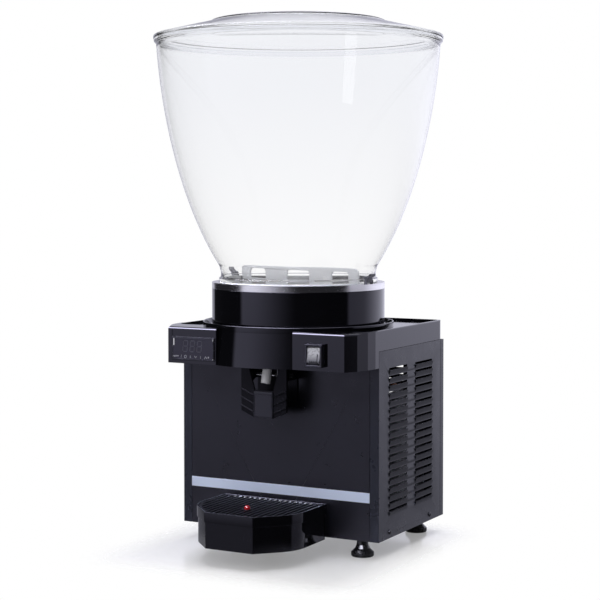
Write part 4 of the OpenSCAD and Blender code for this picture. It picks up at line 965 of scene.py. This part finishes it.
def add_knuckles():
    """A rounded dome at the rear end of each of the grille's bars, coloured light grey as a painted
    highlight
    """
    grille_high = high("drip_grille")
    pitch = 8.6 * MM
    rear = grille_high.y - 5.2 * MM
    half_x, half_y, rise = 1.9 * MM, 3.4 * MM, 1.3 * MM
    sides = 20
    climbs = [math.radians(18 * step) for step in range(5)]
    turns = [2 * math.pi * k / sides for k in range(sides)]
    mesh = bmesh.new()
    count = int((grille_high.x - 12 * MM) / pitch)
    for i in range(-count, count):
        centre = Vector(((i + 0.5) * pitch, rear, grille_high.z))
        rings = []
        for climb in climbs:
            x, y, z = half_x * math.cos(climb), half_y * math.cos(climb), rise * math.sin(climb)
            ring = [centre + Vector((x * math.cos(a), y * math.sin(a), z)) for a in turns]
            rings.append([mesh.verts.new(place) for place in ring])
        tip = mesh.verts.new(centre + Vector((0, 0, rise)))
        mesh.faces.new(rings[0])
        for k in range(sides):
            n = (k + 1) % sides
            for a, b in zip(rings, rings[1:]):
                mesh.faces.new((a[k], a[n], b[n], b[k]))
            mesh.faces.new((rings[-1][k], rings[-1][n], tip))
    knuckles = link_mesh("grille_knuckles", mesh, "black_gloss", smooth=60, material=knuckle_painted_highlight)
    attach(knuckles, "grille")


# Floor

# Centre and half sizes of the floor's opaque middle, how far the fading round it reaches, and
# the light that the floor adds for the camera
floor_centre = (0, -0.03, 0)
floor_half = (0.15, 0.17, 0)
floor_fade = 0.1
floor_glow = 0.25


def add_floor():
    """A pale floor that keeps the object's shadow, and fades out around its opaque middle"""
    mesh = bmesh.new()
    bmesh.ops.create_circle(mesh, cap_ends=True, radius=1.6, segments=96)
    data = bpy.data.meshes.new("floor")
    mesh.to_mesh(data)
    mesh.free()
    floor = bpy.data.objects.new("floor", data)
    floor.location.z = -0.2 * MM
    scene.collection.objects.link(floor)
    finish = Finish("floor", (0.93, 0.93, 0.935), 0.16)
    finish.vary_roughness(finish.noise(5, 3), 0.3, 0.7, 0.02)
    path = finish.add("ShaderNodeLightPath").outputs
    # Painted shade: the floor is darker where reflections see it, standing in for its shadow in front of
    # the object
    finish.tint(path["Is Glossy Ray"], 0, 1, (0.55, 0.55, 0.58))
    glow = finish.add("ShaderNodeEmission")
    finish.join(finish.maths("MULTIPLY", path["Is Camera Ray"], floor_glow), glow.inputs["Strength"])
    lit = finish.add("ShaderNodeAddShader")
    finish.join(finish.shader.outputs["BSDF"], lit.inputs[0])
    finish.join(glow.outputs["Emission"], lit.inputs[1])
    spread = finish.vector("ABSOLUTE", finish.vector("SUBTRACT", finish.place, floor_centre))
    beyond = finish.vector("MAXIMUM", finish.vector("SUBTRACT", spread, floor_half), (0, 0, 0))
    fade = finish.ease(finish.vector("LENGTH", beyond), 0, floor_fade, 0, 1)
    clear = finish.add("ShaderNodeBsdfTransparent")
    mixed = finish.mix_shaders(fade, lit.outputs["Shader"], clear.outputs["BSDF"])
    output = finish.tree.nodes["Material Output"]
    finish.join(mixed, output.inputs["Surface"])
    data.materials.append(finish.material)


add_camera()
add_world()
add_softbox("front_softbox", (-0.49, -1.83, 1.0), (0, 0, 0.6), (1.9, 1.9), 1.5)
add_softbox("top_softbox", (0.1, 0.1, 2.3), (0, 0, 0.5), (1.6, 1.6), 3.7)
dress_nodes()
add_tank()
add_screws()
add_controller()
add_rocker_marks()
add_pad()
add_knuckles()
add_floor()
scene.view_settings.view_transform = "Standard"
